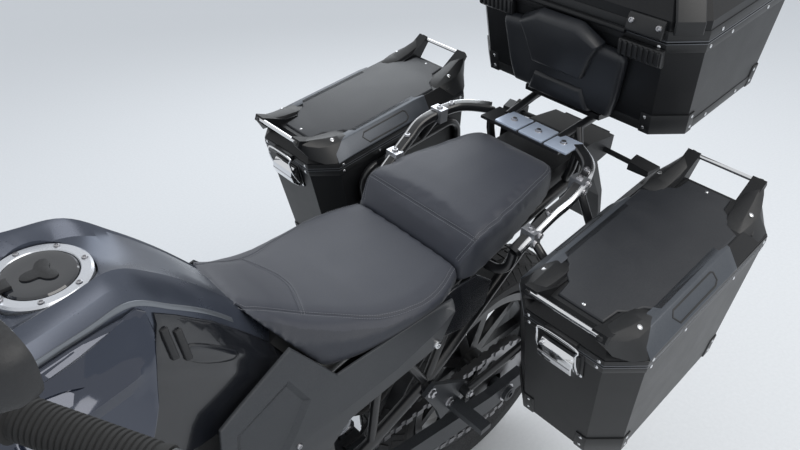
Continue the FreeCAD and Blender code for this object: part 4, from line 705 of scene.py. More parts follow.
class Repeat:
    """Trees that set a template object along points, a line or round an axle, each built on its first use."""

    @staticmethod
    def start(name: str, extra: Sequence[tuple[str, str, float | int]]) -> tuple[Tree, Node, Node, Socket]:
        """Starts a tree with a template, a material and a few named sizes.

        Args:
            name: The tree's name.
            extra: Name, socket kind and value of each size.

        Returns:
            The tree, its input node, its output node and the template's geometry.
        """
        tree = bpy.data.node_groups.new(name, "GeometryNodeTree")
        for label, kind in (("Geometry", "Geometry"), ("Template", "Object"), ("Material", "Material")):
            tree.interface.new_socket(label, in_out="INPUT", socket_type="NodeSocket" + kind)
        for label, kind, value in extra:
            tree.interface.new_socket(
                label, in_out="INPUT", socket_type="NodeSocket" + kind
            ).default_value = value
        tree.interface.new_socket("Geometry", in_out="OUTPUT", socket_type="NodeSocketGeometry")
        take = tree.nodes.new("NodeGroupInput")
        give = tree.nodes.new("NodeGroupOutput")
        shape = joined(tree, "GeometryNodeObjectInfo", {"Object": take.outputs["Template"]})
        return tree, take, give, shape.outputs["Geometry"]

    @staticmethod
    def end(tree: Tree, take: Node, give: Node, links: dict) -> Tree:
        """Sets the template on its places, makes the instances real and gives them their material.

        Args:
            tree: The tree.
            take: Its input node.
            give: Its output node.
            links: The links of the node that sets instances on points.

        Returns:
            The tree.
        """
        spread = joined(tree, "GeometryNodeInstanceOnPoints", links)
        real = joined(tree, "GeometryNodeRealizeInstances", {"Geometry": spread.outputs[0]})
        skin = {"Geometry": real.outputs[0], "Material": take.outputs["Material"]}
        painted = joined(tree, "GeometryNodeSetMaterial", skin)
        tree.links.new(painted.outputs[0], give.inputs["Geometry"])
        return tree

    @classmethod
    @cache
    def scatter(cls) -> Tree:
        """A template on each point, its Z along the point's facing."""
        tree, take, give, shape = cls.start("fasteners", [("Size", "Float", 1.0)])
        facing = joined(
            tree, "GeometryNodeInputNamedAttribute", {"Name": "facing"}, data_type="FLOAT_VECTOR"
        )
        way = {"Vector": facing.outputs["Attribute"]}
        turn = joined(tree, "FunctionNodeAlignRotationToVector", way, axis="Z").outputs[0]
        points = joined(tree, "GeometryNodeMeshToPoints", {"Mesh": take.outputs["Geometry"]}).outputs[0]
        links = {"Points": points, "Instance": shape, "Rotation": turn, "Scale": take.outputs["Size"]}
        return cls.end(tree, take, give, links)

    @classmethod
    @cache
    def run(cls) -> Tree:
        """A template at even steps along a line, its X along the line."""
        tree, take, give, shape = cls.start("stitches", [("Pitch", "Float", 0.004)])
        line = joined(tree, "GeometryNodeMeshToCurve", {"Mesh": take.outputs["Geometry"]}).outputs[0]
        even = joined(
            tree, "GeometryNodeResampleCurve", {"Curve": line, "Length": take.outputs["Pitch"]},
            mode="LENGTH"
        )
        heading = {"Vector": tree.nodes.new("GeometryNodeInputTangent").outputs[0]}
        turn = joined(tree, "FunctionNodeAlignRotationToVector", heading, axis="X").outputs[0]
        links = {"Points": even.outputs[0], "Instance": shape, "Rotation": turn}
        return cls.end(tree, take, give, links)

    @classmethod
    @cache
    def wheel(cls) -> Tree:
        """A template turned round the axle at even steps; it is drawn at its place round the Y axis."""
        tree, take, give, shape = cls.start(
            "round_the_axle", [("Count", "Int", 12), ("Start", "Float", 0.0)]
        )
        points = joined(tree, "GeometryNodePoints", {"Count": take.outputs["Count"]}).outputs[0]
        number = tree.nodes.new("GeometryNodeInputIndex").outputs[0]
        share = worked(tree, "DIVIDE", number, take.outputs["Count"])
        angle = worked(tree, "MULTIPLY_ADD", share, 2 * math.pi, take.outputs["Start"])
        euler = joined(tree, "ShaderNodeCombineXYZ", {"Y": angle}).outputs[0]
        return cls.end(tree, take, give, {"Points": points, "Instance": shape, "Rotation": euler})

    @staticmethod
    def realised(
        name: str, base: bpy.types.Mesh, tree: Tree, template: Form, finish: Finish, **sizes: float | int
    ) -> Piece:
        """Runs a tree once and keeps its plain mesh.

        Args:
            name: The piece's name.
            base: The points or lines that the tree reads.
            tree: The tree.
            template: The repeated shape, in millimetres, in its own frame.
            finish: The material of the result.
            sizes: Values for the tree's named inputs.

        Returns:
            The object with its plain mesh.
        """
        piece = new_object(name, base)
        sample = new_object(name + "_template", template.to_mesh())
        modifier = piece.modifiers.new("repeat", "NODES")
        modifier.node_group = tree
        given: dict[str, object] = {"Template": sample, "Material": finish.material(), **sizes}
        for item in tree.interface.items_tree:
            if item.item_type == "SOCKET" and item.in_out == "INPUT" and item.name in given:
                modifier[item.identifier] = given[item.name]
        apply_all(piece)
        remove_object(sample)
        return piece


LOCAL = Matrix.Scale(MM, 4)


class Head(Enum):
    """Kinds of fastener heads."""

    RIVET = "rivet"
    BUTTON = "button"
    HEX = "hex"


def head_form(kind: Head, radius: float) -> Form:
    """Draws a fastener's head in its own frame, Z out of the surface."""
    form = Form(kind.value, LOCAL)
    match kind:
        case Head.RIVET:
            form.lathe(
                (0, 0, -1), (0, 0, 1),
                [(0, radius), (1.2, radius), (2.0, radius * 0.75), (2.5, radius * 0.3)], 12
            )
        case Head.BUTTON:
            profile = [
                (-1, radius), (0.6, radius), (radius * 0.55, radius * 0.8), (radius * 0.6, radius * 0.5)
            ]
            profile += [(radius * 0.25, radius * 0.42), (radius * 0.2, radius * 0.1)]
            form.lathe((0, 0, 0), (0, 0, 1), profile, 18)
        case _:
            form.lathe(
                (0, 0, -1), (0, 0, 1), [(0, radius * 1.35), (1.8, radius * 1.35), (2.2, radius * 1.25)], 20
            )
            form.lathe(
                (0, 0, 1), (0, 0, 1), [(0, radius), (radius * 0.7, radius), (radius * 0.8, radius * 0.8)], 6
            )
    return form


@dataclass
class Fasteners:
    """Screws or rivets of one kind on one body, each a place and a facing."""

    name: str
    kind: Head
    radius: float
    finish: Finish
    place: Matrix
    body: Body = Body.CHASSIS
    spots: list[tuple[Point, Point]] = field(default_factory=list)

    def put(self, at: Point, facing: Point, both_sides: bool = False) -> None:
        """Adds one, or one on each side of the machine."""
        self.spots.append((at, facing))
        if both_sides:
            self.spots.append(((at[0], -at[1], at[2]), (facing[0], -facing[1], facing[2])))

    def build(self) -> Piece:
        """Makes them all as one piece."""
        base = bpy.data.meshes.new(self.name)
        base.from_pydata([self.place @ Vector(at) for at, _ in self.spots], [], [])
        turn = self.place.to_3x3()
        facing = base.attributes.new("facing", "FLOAT_VECTOR", "POINT")
        for item, (_, way) in zip(facing.data, self.spots):
            item.vector = (turn @ Vector(way)).normalized()
        piece = Repeat.realised(
            self.name, base, Repeat.scatter(), head_form(self.kind, self.radius), self.finish, Size=1.0
        )
        return finished(piece, self.finish, self.body)


# Bodywork


# x, crest, crest height, edge, edge height, flank, flank height, floor, floor height, height of the middle
TANK_STATIONS = [
    (590, 50, 885, 74, 862, 96, 830, 96, 800, 885), (640, 50, 950, 78, 925, 102, 880, 102, 795, 950),
    (690, 52, 1010, 86, 985, 108, 930, 106, 795, 1010), (740, 56, 1060, 92, 1030, 112, 960, 106, 795, 1052),
    (790, 66, 1098, 96.7, 1068, 116, 990, 106, 795, 1072),
    (850, 80, 1100, 110.5, 1071, 122, 1000, 106, 805, 1073),
    (937, 96, 1098, 129.1, 1073, 136, 1000, 105, 865, 1073),
    (1010, 96, 1085, 126, 1058, 130, 1000, 92, 905, 1066),
    (1035, 84, 1062, 110, 1036, 116, 990, 80, 920, 1050)
]
# x, then distance from the middle and height at the top, the style line, the flank and the foot
FAIRING_STATIONS = [
    (760, 99, 1058, 127, 1000, 150, 930, 150, 860), (800, 103, 1072, 134, 1000, 165, 930, 160, 840),
    (870, 121, 1074, 156, 1010, 186, 920, 176, 760), (950, 137, 1073, 172, 1010, 204, 920, 192, 680),
    (1040, 150, 1040, 178, 1000, 212, 910, 203, 600), (1130, 152, 1005, 182, 975, 212, 890, 204, 600),
    (1240, 152, 955, 176, 940, 200, 880, 196, 640)
]
JOINT: Point = (551.0, 0.0, 818.0)
JOINT_SLOPE = math.radians(54.5)
JOINT_GAP = 2.0
JOINT_REACH = 900.0


def joint_block() -> Form:
    """Draws the space ahead of the seat and tank joint, which is cut off the rider's pad."""
    ahead = Vector((math.sin(JOINT_SLOPE), 0, -math.cos(JOINT_SLOPE)))
    up = Vector((math.cos(JOINT_SLOPE), 0, math.sin(JOINT_SLOPE)))
    start = Vector(JOINT) - ahead * JOINT_GAP
    form = Form("joint")
    rings = []
    for reach in (0.0, JOINT_REACH):
        middle = start + ahead * reach
        corners = ((-600, -900), (600, -900), (600, 900), (-600, 900))
        rings.append([middle + Vector((0, y, 0)) + up * t for y, t in corners])
    form.skin(rings)
    return form


@dataclass
class Tank:
    """The tank's satin cover with its trim edge, the filler ring and the cap."""

    cap_x: float = 850.0
    ring_top: float = 1083.0
    ring_radius: float = 60.0
    cap_radius: float = 44.0
    cap_top: float = 1085.0

    def build(self) -> None:
        """Makes every piece of the tank."""
        self.cover()
        self.trim()
        self.ring()
        self.cap()

    def rows(self) -> list[tuple[float, ...]]:
        """Gives the smooth stations of the cover."""
        return curve_through(TANK_STATIONS, 6)

    def cover(self) -> None:
        """Draws the cover with its two ridges and the dip between them."""
        form = Form("tank_cover")
        rings = []
        for x, crest, crest_z, edge, edge_z, flank, flank_z, floor, floor_z, middle in self.rows():
            shoulder = ((crest + edge) / 2 + 2.5, (crest_z + edge_z) / 2 + 2.5)
            half = [
                (0, middle), (crest * 0.4, middle + (crest_z - middle) * 0.05),
                (crest * 0.72, middle + (crest_z - middle) * 0.3),
                (crest * 0.92, crest_z - 2.5 - (crest_z - middle) * 0.1), (crest, crest_z), shoulder,
                (edge, edge_z), (flank, flank_z), (floor, floor_z), (floor * 0.5, floor_z)
            ]
            right = [(x, -y, z) for y, z in reversed(half[1:])]
            rings.append([*((x, y, z) for y, z in half), (x, 0, floor_z), *right])
        form.skin(rings)
        pocket = Form("filler_recess")
        pocket.rod(
            (self.cap_x, 0, self.ring_top - 60), (self.cap_x, 0, self.ring_top + 60),
            self.ring_radius + 2.5, 64
        )
        form.build(COVER, replaces=["fuel_tank"], bevel=2.5, segments=3, cut=pocket, sharp=17)

    def trim(self) -> None:
        """Draws the bright edge along the cover's side and the dark line under it."""
        for name, out, low, high, finish in (
            ("tank_trim", 1.0, -6.0, 2.0, TRIM), ("tank_shadow_line", -1.0, -13.0, -6.2, RUBBER)
        ):
            form = Form(name)
            line = [
                (row[0], row[3], row[4], row[5], row[6]) for row in self.rows() if 655 <= row[0] <= 1012
            ]
            rings = []
            for x, edge, edge_z, flank, flank_z in line:
                slope = Vector((flank - edge, flank_z - edge_z)).normalized()
                corners = ((-high, out), (-low, out), (-low, -3.0), (-high, -3.0))
                rings.append(
                    [
                        (
                            x, edge + slope.x * along - slope.y * off,
                            edge_z + slope.y * along + slope.x * off
                        )
                        for along, off in corners
                    ]
                )
            form.skin(rings)
            form.mirrored()
            form.build(finish, bevel=0.8)

    def ring(self) -> None:
        """Draws the silver ring round the filler, its floor and its screws."""
        form = Form("filler_ring")
        outer, inner, top = self.ring_radius, self.cap_radius + 1.2, self.ring_top
        profile = [
            (top - 16, inner), (top - 1.2, inner), (top, inner + 1.2), (top, outer - 3), (top - 2.5, outer),
            (top - 16, outer)
        ]
        rings = []
        for i in range(72):
            turn = 2 * math.pi * i / 72
            rings.append([(self.cap_x + r * math.cos(turn), r * math.sin(turn), z) for z, r in profile])
        form.skin(rings, loop=True)
        form.build(RING, sharp=28)
        floor = Form("filler_floor")
        floor.lathe((self.cap_x, 0, top - 17), (0, 0, 1), [(0, outer), (3, outer), (3, 30), (0, 30)], 48)
        floor.build(PLASTIC)
        screws = Fasteners("filler_ring_screws", Head.BUTTON, 4.2, STEEL, STAND)
        middle = (outer + inner) / 2
        for i in range(7):
            turn = math.radians(i * 360 / 7 + 20)
            screws.put(
                (self.cap_x + middle * math.cos(turn), middle * math.sin(turn), top - 0.6), (0, 0, 1)
            )
        screws.build()

    def cap(self) -> None:
        """Draws the lid of the filler with its three-lobed key flap and hinge."""
        form = Form("filler_lid")
        top, radius = self.cap_top, self.cap_radius
        profile = [(0, radius - 1), (1, radius), (7, radius), (9, radius - 2.2)]
        profile += [(9.6, radius - 8), (9.2, radius - 16), (9.2, 2)]
        form.lathe((self.cap_x, 0, top - 10), (0, 0, 1), profile, 64)
        form.build(DISPLAY, Body.CAP, replaces=["filler_cap"], sharp=30)
        flap = Form("key_flap")
        outline = []
        for i in range(36):
            turn = math.radians(i * 10)
            reach = 17 + 6.5 * math.cos(3 * turn)
            outline.append((self.cap_x - 2 + reach * math.cos(turn), reach * math.sin(turn)))
        flap.prism(outline, Axis.UP, top - 1.5, top + 1.2)
        flap.build(PLASTIC, Body.CAP, bevel=0.8)
        hinge = Form("cap_hinge_arm")
        hinge.box((self.cap_x + 32, -9, top - 0.8), (self.cap_x + 52, 9, top + 4.5))
        pin = self.cap_x + 51
        hinge.rod((pin, -10, top + 3), (pin, 10, top + 3), 4.2)
        hinge.build(PLASTIC, Body.CAP, bevel=1.0)
        ears = Form("cap_hinge_ears")
        ears.rod((pin, 10.4, top + 3), (pin, 17, top + 3), 4.2)
        ears.box((pin - 4, 10.4, top - 4), (pin + 4, 17, top + 3))
        ears.mirrored()
        ears.build(RING, bevel=0.5)


def sides_of(outline: Sequence[Flat]) -> list[tuple[Flat, Flat]]:
    """Gives the start and end of each side of a closed outline."""
    return list(zip(outline, [*outline[1:], outline[0]]))


def clockwise(outline: Sequence[Flat]) -> bool:
    """Says which way round an outline runs."""
    return sum(a[0] * b[1] - b[0] * a[1] for a, b in sides_of(outline)) < 0


def inset(outline: Sequence[Flat], by: float) -> list[Flat]:
    """Moves a closed outline inwards.

    Args:
        outline: Its corners, counterclockwise.
        by: The distance.

    Returns:
        The moved corners, one for each.
    """
    moved = []
    for before, at, after in zip([outline[-1], *outline], outline, [*outline[1:], outline[0]]):
        first = (Vector(at) - Vector(before)).normalized()
        second = (Vector(after) - Vector(at)).normalized()
        way = Vector((-first.y - second.y, first.x + second.x)).normalized()
        reach = by / max(0.35, way.dot(Vector((-second.y, second.x))))
        moved.append((at[0] + way.x * reach, at[1] + way.y * reach))
    return moved


def dense(outline: Sequence[Flat], spacing: float, closed: bool = True) -> list[Flat]:
    """Divides the sides of an outline into even steps.

    Args:
        outline: Its corners.
        spacing: The length that a step comes near to.
        closed: Whether the last corner joins the first.

    Returns:
        The corners with the new points between them.
    """
    points: list[Flat] = []
    for a, b in sides_of(outline) if closed else zip(outline, outline[1:]):
        steps = max(1, round(math.dist(a, b) / spacing))
        points += [
            (a[0] + (b[0] - a[0]) * i / steps, a[1] + (b[1] - a[1]) * i / steps) for i in range(steps)
        ]
    return points if closed else [*points, outline[-1]]


def inside(point: Flat, outline: Sequence[Flat]) -> bool:
    """Says whether a point lies in a closed outline.

    Args:
        point: The point.
        outline: The outline's corners.

    Returns:
        Whether it lies inside.
    """
    x, z = point
    found = False
    for (a, b), (c, d) in sides_of(outline):
        if (b > z) != (d > z) and x < a + (c - a) * (z - b) / (d - b):
            found = not found
    return found


def between(value: float, rows: Sequence[Flat]) -> float:
    """Reads a value off rows that run up or down.

    Args:
        value: The place.
        rows: Place and value of each row.

    Returns:
        The value at that place, or the end row's beyond them.
    """
    ordered = sorted(rows)
    if value <= ordered[0][0]:
        return ordered[0][1]
    for (a, b), (c, d) in zip(ordered, ordered[1:]):
        if value <= c:
            return b + (d - b) * (value - a) / max(c - a, 1e-9)
    return ordered[-1][1]


def station_value(stations: Sequence[Sequence[float]], x: float, column: int) -> float:
    """Reads one column of a table of stations at x."""
    return between(x, [(station[0], station[column]) for station in stations])


@dataclass
class Sheet:
    """A moulded panel: a flat outline in the side view whose surface stands off the middle by a height."""

    name: str
    outline: Sequence[Flat]
    height: Callable[[float, float], float]
    creases: Sequence[Sequence[Flat]] = ()
    wall: float = 4.5
    rim: float = 1.6
    spacing: float = 9.0

    def form(self) -> Form:
        """Draws the left panel with its rolled rim and its back."""
        outline = list(self.outline)
        if clockwise(outline):
            outline.reverse()
        edge = dense(outline, self.spacing)
        form = Form(self.name)
        steps = [
            (inset(edge, self.rim), 0.0), (inset(edge, self.rim * 0.3), self.rim * 0.3), (edge, self.rim)
        ]
        steps.append((edge, self.wall))
        rings = [[(x, self.height(x, z) - drop, z) for x, z in ring] for ring, drop in steps]
        form.skin(rings, caps=False)
        for ring, drop, lined in ((steps[0][0], 0.0, True), (edge, self.wall, False)):
            points, faces = self.filled(ring, lined)
            form.add([(x, self.height(x, z) - drop, z) for x, z in points], faces)
        return form

    def filled(self, ring: Sequence[Flat], lined: bool) -> tuple[list[Flat], list[Sequence[int]]]:
        """Fills an outline with even triangles that keep to the crease lines.

        Args:
            ring: The closed outline.
            lined: Whether the creases count.

        Returns:
            The points and the faces.
        """
        points = [Vector(p) for p in ring]
        edges = [(i, (i + 1) % len(ring)) for i in range(len(ring))]
        lines = [dense(line, self.spacing, closed=False) for line in self.creases] if lined else []
        for line in lines:
            start = len(points)
            points += [Vector(p) for p in line]
            edges += [(start + i, start + i + 1) for i in range(len(line) - 1)]
        fixed = list(points)
        low_x, low_z = (min(p[k] for p in ring) for k in (0, 1))
        high_x, high_z = (max(p[k] for p in ring) for k in (0, 1))
        step = self.spacing
        for i in range(int((high_x - low_x) / step) + 1):
            for k in range(int((high_z - low_z) / (step * 0.87)) + 1):
                at = Vector((low_x + (i + 0.5 * (k % 2)) * step, low_z + k * step * 0.87))
                if inside((at.x, at.y), ring) and all((at - other).length > step * 0.55 for other in fixed):
                    points.append(at)
        made = delaunay_2d_cdt(points, edges, [list(range(len(ring)))], 1, 1e-4)
        return [(p.x, p.y) for p in made[0]], [tuple(face) for face in made[2]]


def lens_lines(start: Flat, end: Flat, width: float) -> list[list[Flat]]:
    """Gives the three lines of a pointed swage: its two edges and its middle.

    Args:
        start: One point of the swage.
        end: The other.
        width: How far its edges stand off the middle.

    Returns:
        The three lines.
    """
    run = Vector(end) - Vector(start)
    across = Vector((-run.y, run.x)).normalized()
    lines = []
    for share in (-1.0, 0.0, 1.0):
        line = []
        for i in range(13):
            t = i / 12
            at = Vector(start) + run * t + across * (
                share * width * math.sin(math.pi * min(max(t, 0.02), 0.98))
            )
            line.append((at.x, at.y))
        lines.append(line)
    return lines


def lens_depth(point: Flat, start: Flat, end: Flat, width: float) -> float:
    """Gives how deep a pointed swage is at a point.

    Args:
        point: The point.
        start: One end of the swage.
        end: The other.
        width: How far its edges stand off the middle.

    Returns:
        A share, from 0 at its edge to 1 in its middle.
    """
    run = Vector(end) - Vector(start)
    away = Vector(point) - Vector(start)
    t = away.dot(run) / run.length_squared
    if not 0 < t < 1:
        return 0.0
    reach = width * math.sin(math.pi * t)
    return max(0.0, 1 - abs(run.x * away.y - run.y * away.x) / run.length / max(reach, 0.1))


@dataclass
class Panels:
    """Gloss side fairings, the dark knee panels and the satin side covers."""

    fairing_outline: tuple[Flat, ...] = (
        (786, 1060), (777, 1052), (776, 1026), (804, 953), (852, 884), (932, 794), (1012, 645), (1080, 605),
        (1196, 703), (1236, 862), (1226, 955), (1130, 1000), (1040, 1034), (952, 1066), (871, 1067)
    )
    swages: tuple[tuple[Flat, Flat, float, float], ...] = (
        ((936, 1058), (794, 1062), 4.0, 3.0), ((936, 1046), (872, 1030), 4.0, -3.4),
        ((1150, 700), (1060, 900), 9.0, -4.0)
    )
    ridge_height: float = 7.0
    ridge_width: float = 17.0
    joint_low: Flat = (548.0, 806.0)
    cover_outline: tuple[Flat, ...] = (
        (600, 888), (734, 837), (764, 740), (700, 641), (591, 631), (526, 706), (317, 733), (281, 811),
        (538, 811)
    )
    cover_profile: tuple[Flat, ...] = (
        (905, 126), (850, 146), (812, 163), (742, 177), (700, 176), (620, 168)
    )
    cover_crease: tuple[Flat, ...] = (
        (292, 800), (330, 778), (423, 752), (536, 741), (600, 736), (648, 716)
    )
    recess: tuple[Flat, ...] = ((617, 846), (592, 800), (632, 752), (690, 694), (733, 742), (716, 818))

    def build(self) -> None:
        """Makes the panels of both sides."""
        self.fairings()
        self.knee_panels()
        self.side_covers()
        self.knee_details()
        self.tail_panels()
        self.joint_seal()
        self.screws()

    def pair(self, sheet: Sheet, finish: Finish, replaces: Sequence[str], sharp: float) -> None:
        """Builds a panel and its mirror image as two pieces.

        Args:
            sheet: The left panel.
            finish: What it is made of.
            replaces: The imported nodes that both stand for.
            sharp: The angle in degrees past which an edge stays sharp.
        """
        left = sheet.form()
        left.name = sheet.name + "_left"
        right = Form(sheet.name + "_right")
        right.add([(x, -y, z) for x, y, z in left.points], [tuple(reversed(face)) for face in left.faces])
        left.build(finish, replaces=replaces, sharp=sharp)
        right.build(finish, replaces=replaces, sharp=sharp)

    def ridge(self, x: float) -> float:
        """Gives how high the fairing's style line runs."""
        return station_value(FAIRING_STATIONS, x, 4)

    def fairing_height(self, x: float, z: float) -> float:
        """Gives where the fairing's outer face stands, with its ridge rounded and its swages pressed in."""
        values = [station_value(FAIRING_STATIONS, x, k) for k in range(1, len(FAIRING_STATIONS[0]))]
        line = list(zip(values[1::2], values[::2]))
        level = sum(between(z + d, line) for d in (-6.0, -3.0, 0.0, 3.0, 6.0)) / 5
        fade = max(0.0, min(1.0, (x - 782) / 40))
        level += self.ridge_height * fade * max(0.0, 1 - abs(z - self.ridge(x)) / self.ridge_width)
        for start, end, width, depth in self.swages:
            level += depth * lens_depth((x, z), start, end, width)
        return level

    def fairings(self) -> None:
        """Draws the gloss panels."""
        creases = [line for start, end, width, _ in self.swages for line in lens_lines(start, end, width)]
        for shift in (0.0, -self.ridge_width):
            creases.append([(float(x), self.ridge(x) + shift) for x in range(812, 1121, 28)])
        sheet = Sheet("side_fairing", self.fairing_outline, self.fairing_height, creases, rim=2.2)
        self.pair(sheet, GLOSS, ["side_fairings"], 20)

    def knee_height(self, x: float, z: float) -> float:
        """Gives where the knee panel's outer face stands."""
        edge, edge_z, flank, flank_z = (station_value(TANK_STATIONS, x, k) for k in (3, 4, 5, 6))
        line = [(800.0, flank + 17.0), (flank_z - 34, flank + 11.0), (flank_z - 22, flank + 5.6)]
        line += [(flank_z, flank + 5.3), (edge_z, edge + 4.0)]
        return sum(between(z + d, line) for d in (-4.0, 0.0, 4.0)) / 3

    def knee_panels(self) -> None:
        """Draws the dark panels between the tank and the side covers."""
        slope = Vector((math.cos(JOINT_SLOPE), math.sin(JOINT_SLOPE)))
        joint_high = Vector(self.joint_low) + slope * 52
        outline = [(self.joint_low[0] - 26, self.joint_low[1]), (joint_high.x - 26, joint_high.y + 4)]
        outline += [(600, 862), (640, 912), (690, 972), (740, 1018)]
        outline += [(767, 1040), (768, 1027), (800, 956), (844, 889), (844, 804), (700, 802)]
        self.pair(Sheet("knee_panel", outline, self.knee_height), KNEE, ["knee_panels"], 24)

    def knee_details(self) -> None:
        """Draws the raised pad on the knee panel and the dark louvres ahead of it."""
        pad = Form("knee_boss")
        outline = [(742, 985), (700, 950), (664, 912), (668, 900), (700, 916), (744, 950), (750, 972)]
        rings = []
        for grow, out in ((1.0, -1.0), (0.96, 2.0), (0.85, 3.6), (0.4, 4.4)):
            middle = (708.0, 942.0)
            ring = [
                (middle[0] + (x - middle[0]) * grow, middle[1] + (z - middle[1]) * grow) for x, z in outline
            ]
            rings.append([(x, self.knee_height(x, z) + out, z) for x, z in ring])
        pad.skin(rings)
        pad.mirrored()
        pad.build(KNEE, subdivide=2, sharp=40)
        louvres = Form("knee_louvres")
        for shift in (0.0, 17.0):
            rings = []
            for t in (0.0, 0.5, 1.0):
                x, z = 764 - shift - 3 * t, 1018 - shift * 0.8 - 44 * t
                level = self.knee_height(x, z)
                rings.append(
                    [(x + 5, level, z), (x + 3, level + 5, z), (x - 5, level + 6, z), (x - 7, level, z)]
                )
            louvres.skin(rings)
        louvres.mirrored()
        louvres.build(PLASTIC, bevel=1.2)

    def tail_panels(self) -> None:
        """Draws the black panels under the passenger's seat, behind the side covers."""
        outline = [
            (300, 806), (262, 812), (196, 806), (152, 770), (168, 722), (228, 700), (322, 724), (306, 770)
        ]
        sheet = Sheet("tail_panel", outline, self.tail_height, rim=2.0, spacing=12)
        self.pair(sheet, KNEE, [], 16)

    def tail_height(self, x: float, z: float) -> float:
        """Gives where a tail panel's outer face stands."""
        return 150.0 + (x - 230) * 0.03 - (z - 760) * 0.06

    def cover_height(self, x: float, z: float) -> float:
        """Gives where a side cover's outer face stands, with its chamfer and its recessed field."""
        level = between(z, self.cover_profile)
        if x < 560:
            crease = between(x, self.cover_crease)
            fall = (z - crease) / max(811.0 - crease, 12.0)
            level = 177.0 - 15.0 * max(0.0, min(1.0, fall)) ** 0.8 - max(0.0, crease - z) * 0.05
            level = level + (between(z, self.cover_profile) - level) * max(0.0, min(1.0, (x - 500) / 60))
        if inside((x, z), self.recess):
            gap = min(self.edge_gap((x, z)) / 9.0, 1.0)
            level -= 6.5 * gap
        return level

    def edge_gap(self, point: Flat) -> float:
        """Gives how far a point lies from the recess's outline."""
        least = 1e9
        for a, b in sides_of(self.recess):
            run = Vector(b) - Vector(a)
            share = max(0.0, min(1.0, (Vector(point) - Vector(a)).dot(run) / run.length_squared))
            least = min(least, (Vector(point) - (Vector(a) + run * share)).length)
        return least

    def side_covers(self) -> None:
        """Draws the satin covers."""
        wall = list(self.recess)
        if clockwise(wall):
            wall.reverse()
        floor = inset(wall, 9.0)
        creases = [self.cover_crease, [*wall, wall[0]], [*floor, floor[0]]]
        sheet = Sheet("side_cover", self.cover_outline, self.cover_height, creases, rim=1.8)
        self.pair(sheet, GRAPHITE, ["side_covers"], 14)

    def joint_seal(self) -> None:
        """Draws a dark rubber-finished strip under the tank and seat joint: painted shade filling the gap
        there.
        """
        # The strip is painted shade in the gap between the seat skirt and the knee panel.
        seal = Form("joint_seal")
        up = Vector((math.cos(JOINT_SLOPE), 0, math.sin(JOINT_SLOPE)))
        back = Vector((-math.sin(JOINT_SLOPE), 0, math.cos(JOINT_SLOPE)))
        rings = []
        for t, y in ((-14, 118), (10, 116), (40, 104), (70, 86)):
            at = Vector(JOINT) + up * t
            section = ((26, y), (-16, y), (-16, y - 22), (26, y - 22))
            rings.append([at + back * u + Vector((0, v, 0)) for u, v in section])
        seal.skin(rings)
        seal.mirrored()
        seal.build(RUBBER)

    def screws(self) -> None:
        """Adds the panel screws."""
        screws = Fasteners("panel_screws", Head.BUTTON, 5.0, STEEL, STAND)
        for x, z in ((627, 733), (590, 648)):
            screws.put((x, self.cover_height(x, z) + 0.6, z), (0, 1, 0.1), True)
        screws.build()
        bolts = Fasteners("cover_bolts", Head.BUTTON, 8.5, BRIGHT, STAND)
        bolts.put((329, self.cover_height(329, 744) + 0.8, 744), (0, 1, 0.1), True)
        bolts.build()


BLOW_FRAMES = 16
GROOVE_WIDTH = 3.2 * MM
STITCH_PITCH = 4.4 * MM


def seat_floor(x: float) -> float:
    """Gives the height of the rails that the seats lie on."""
    return 760 + 0.16 * (400 - x) + 12.46


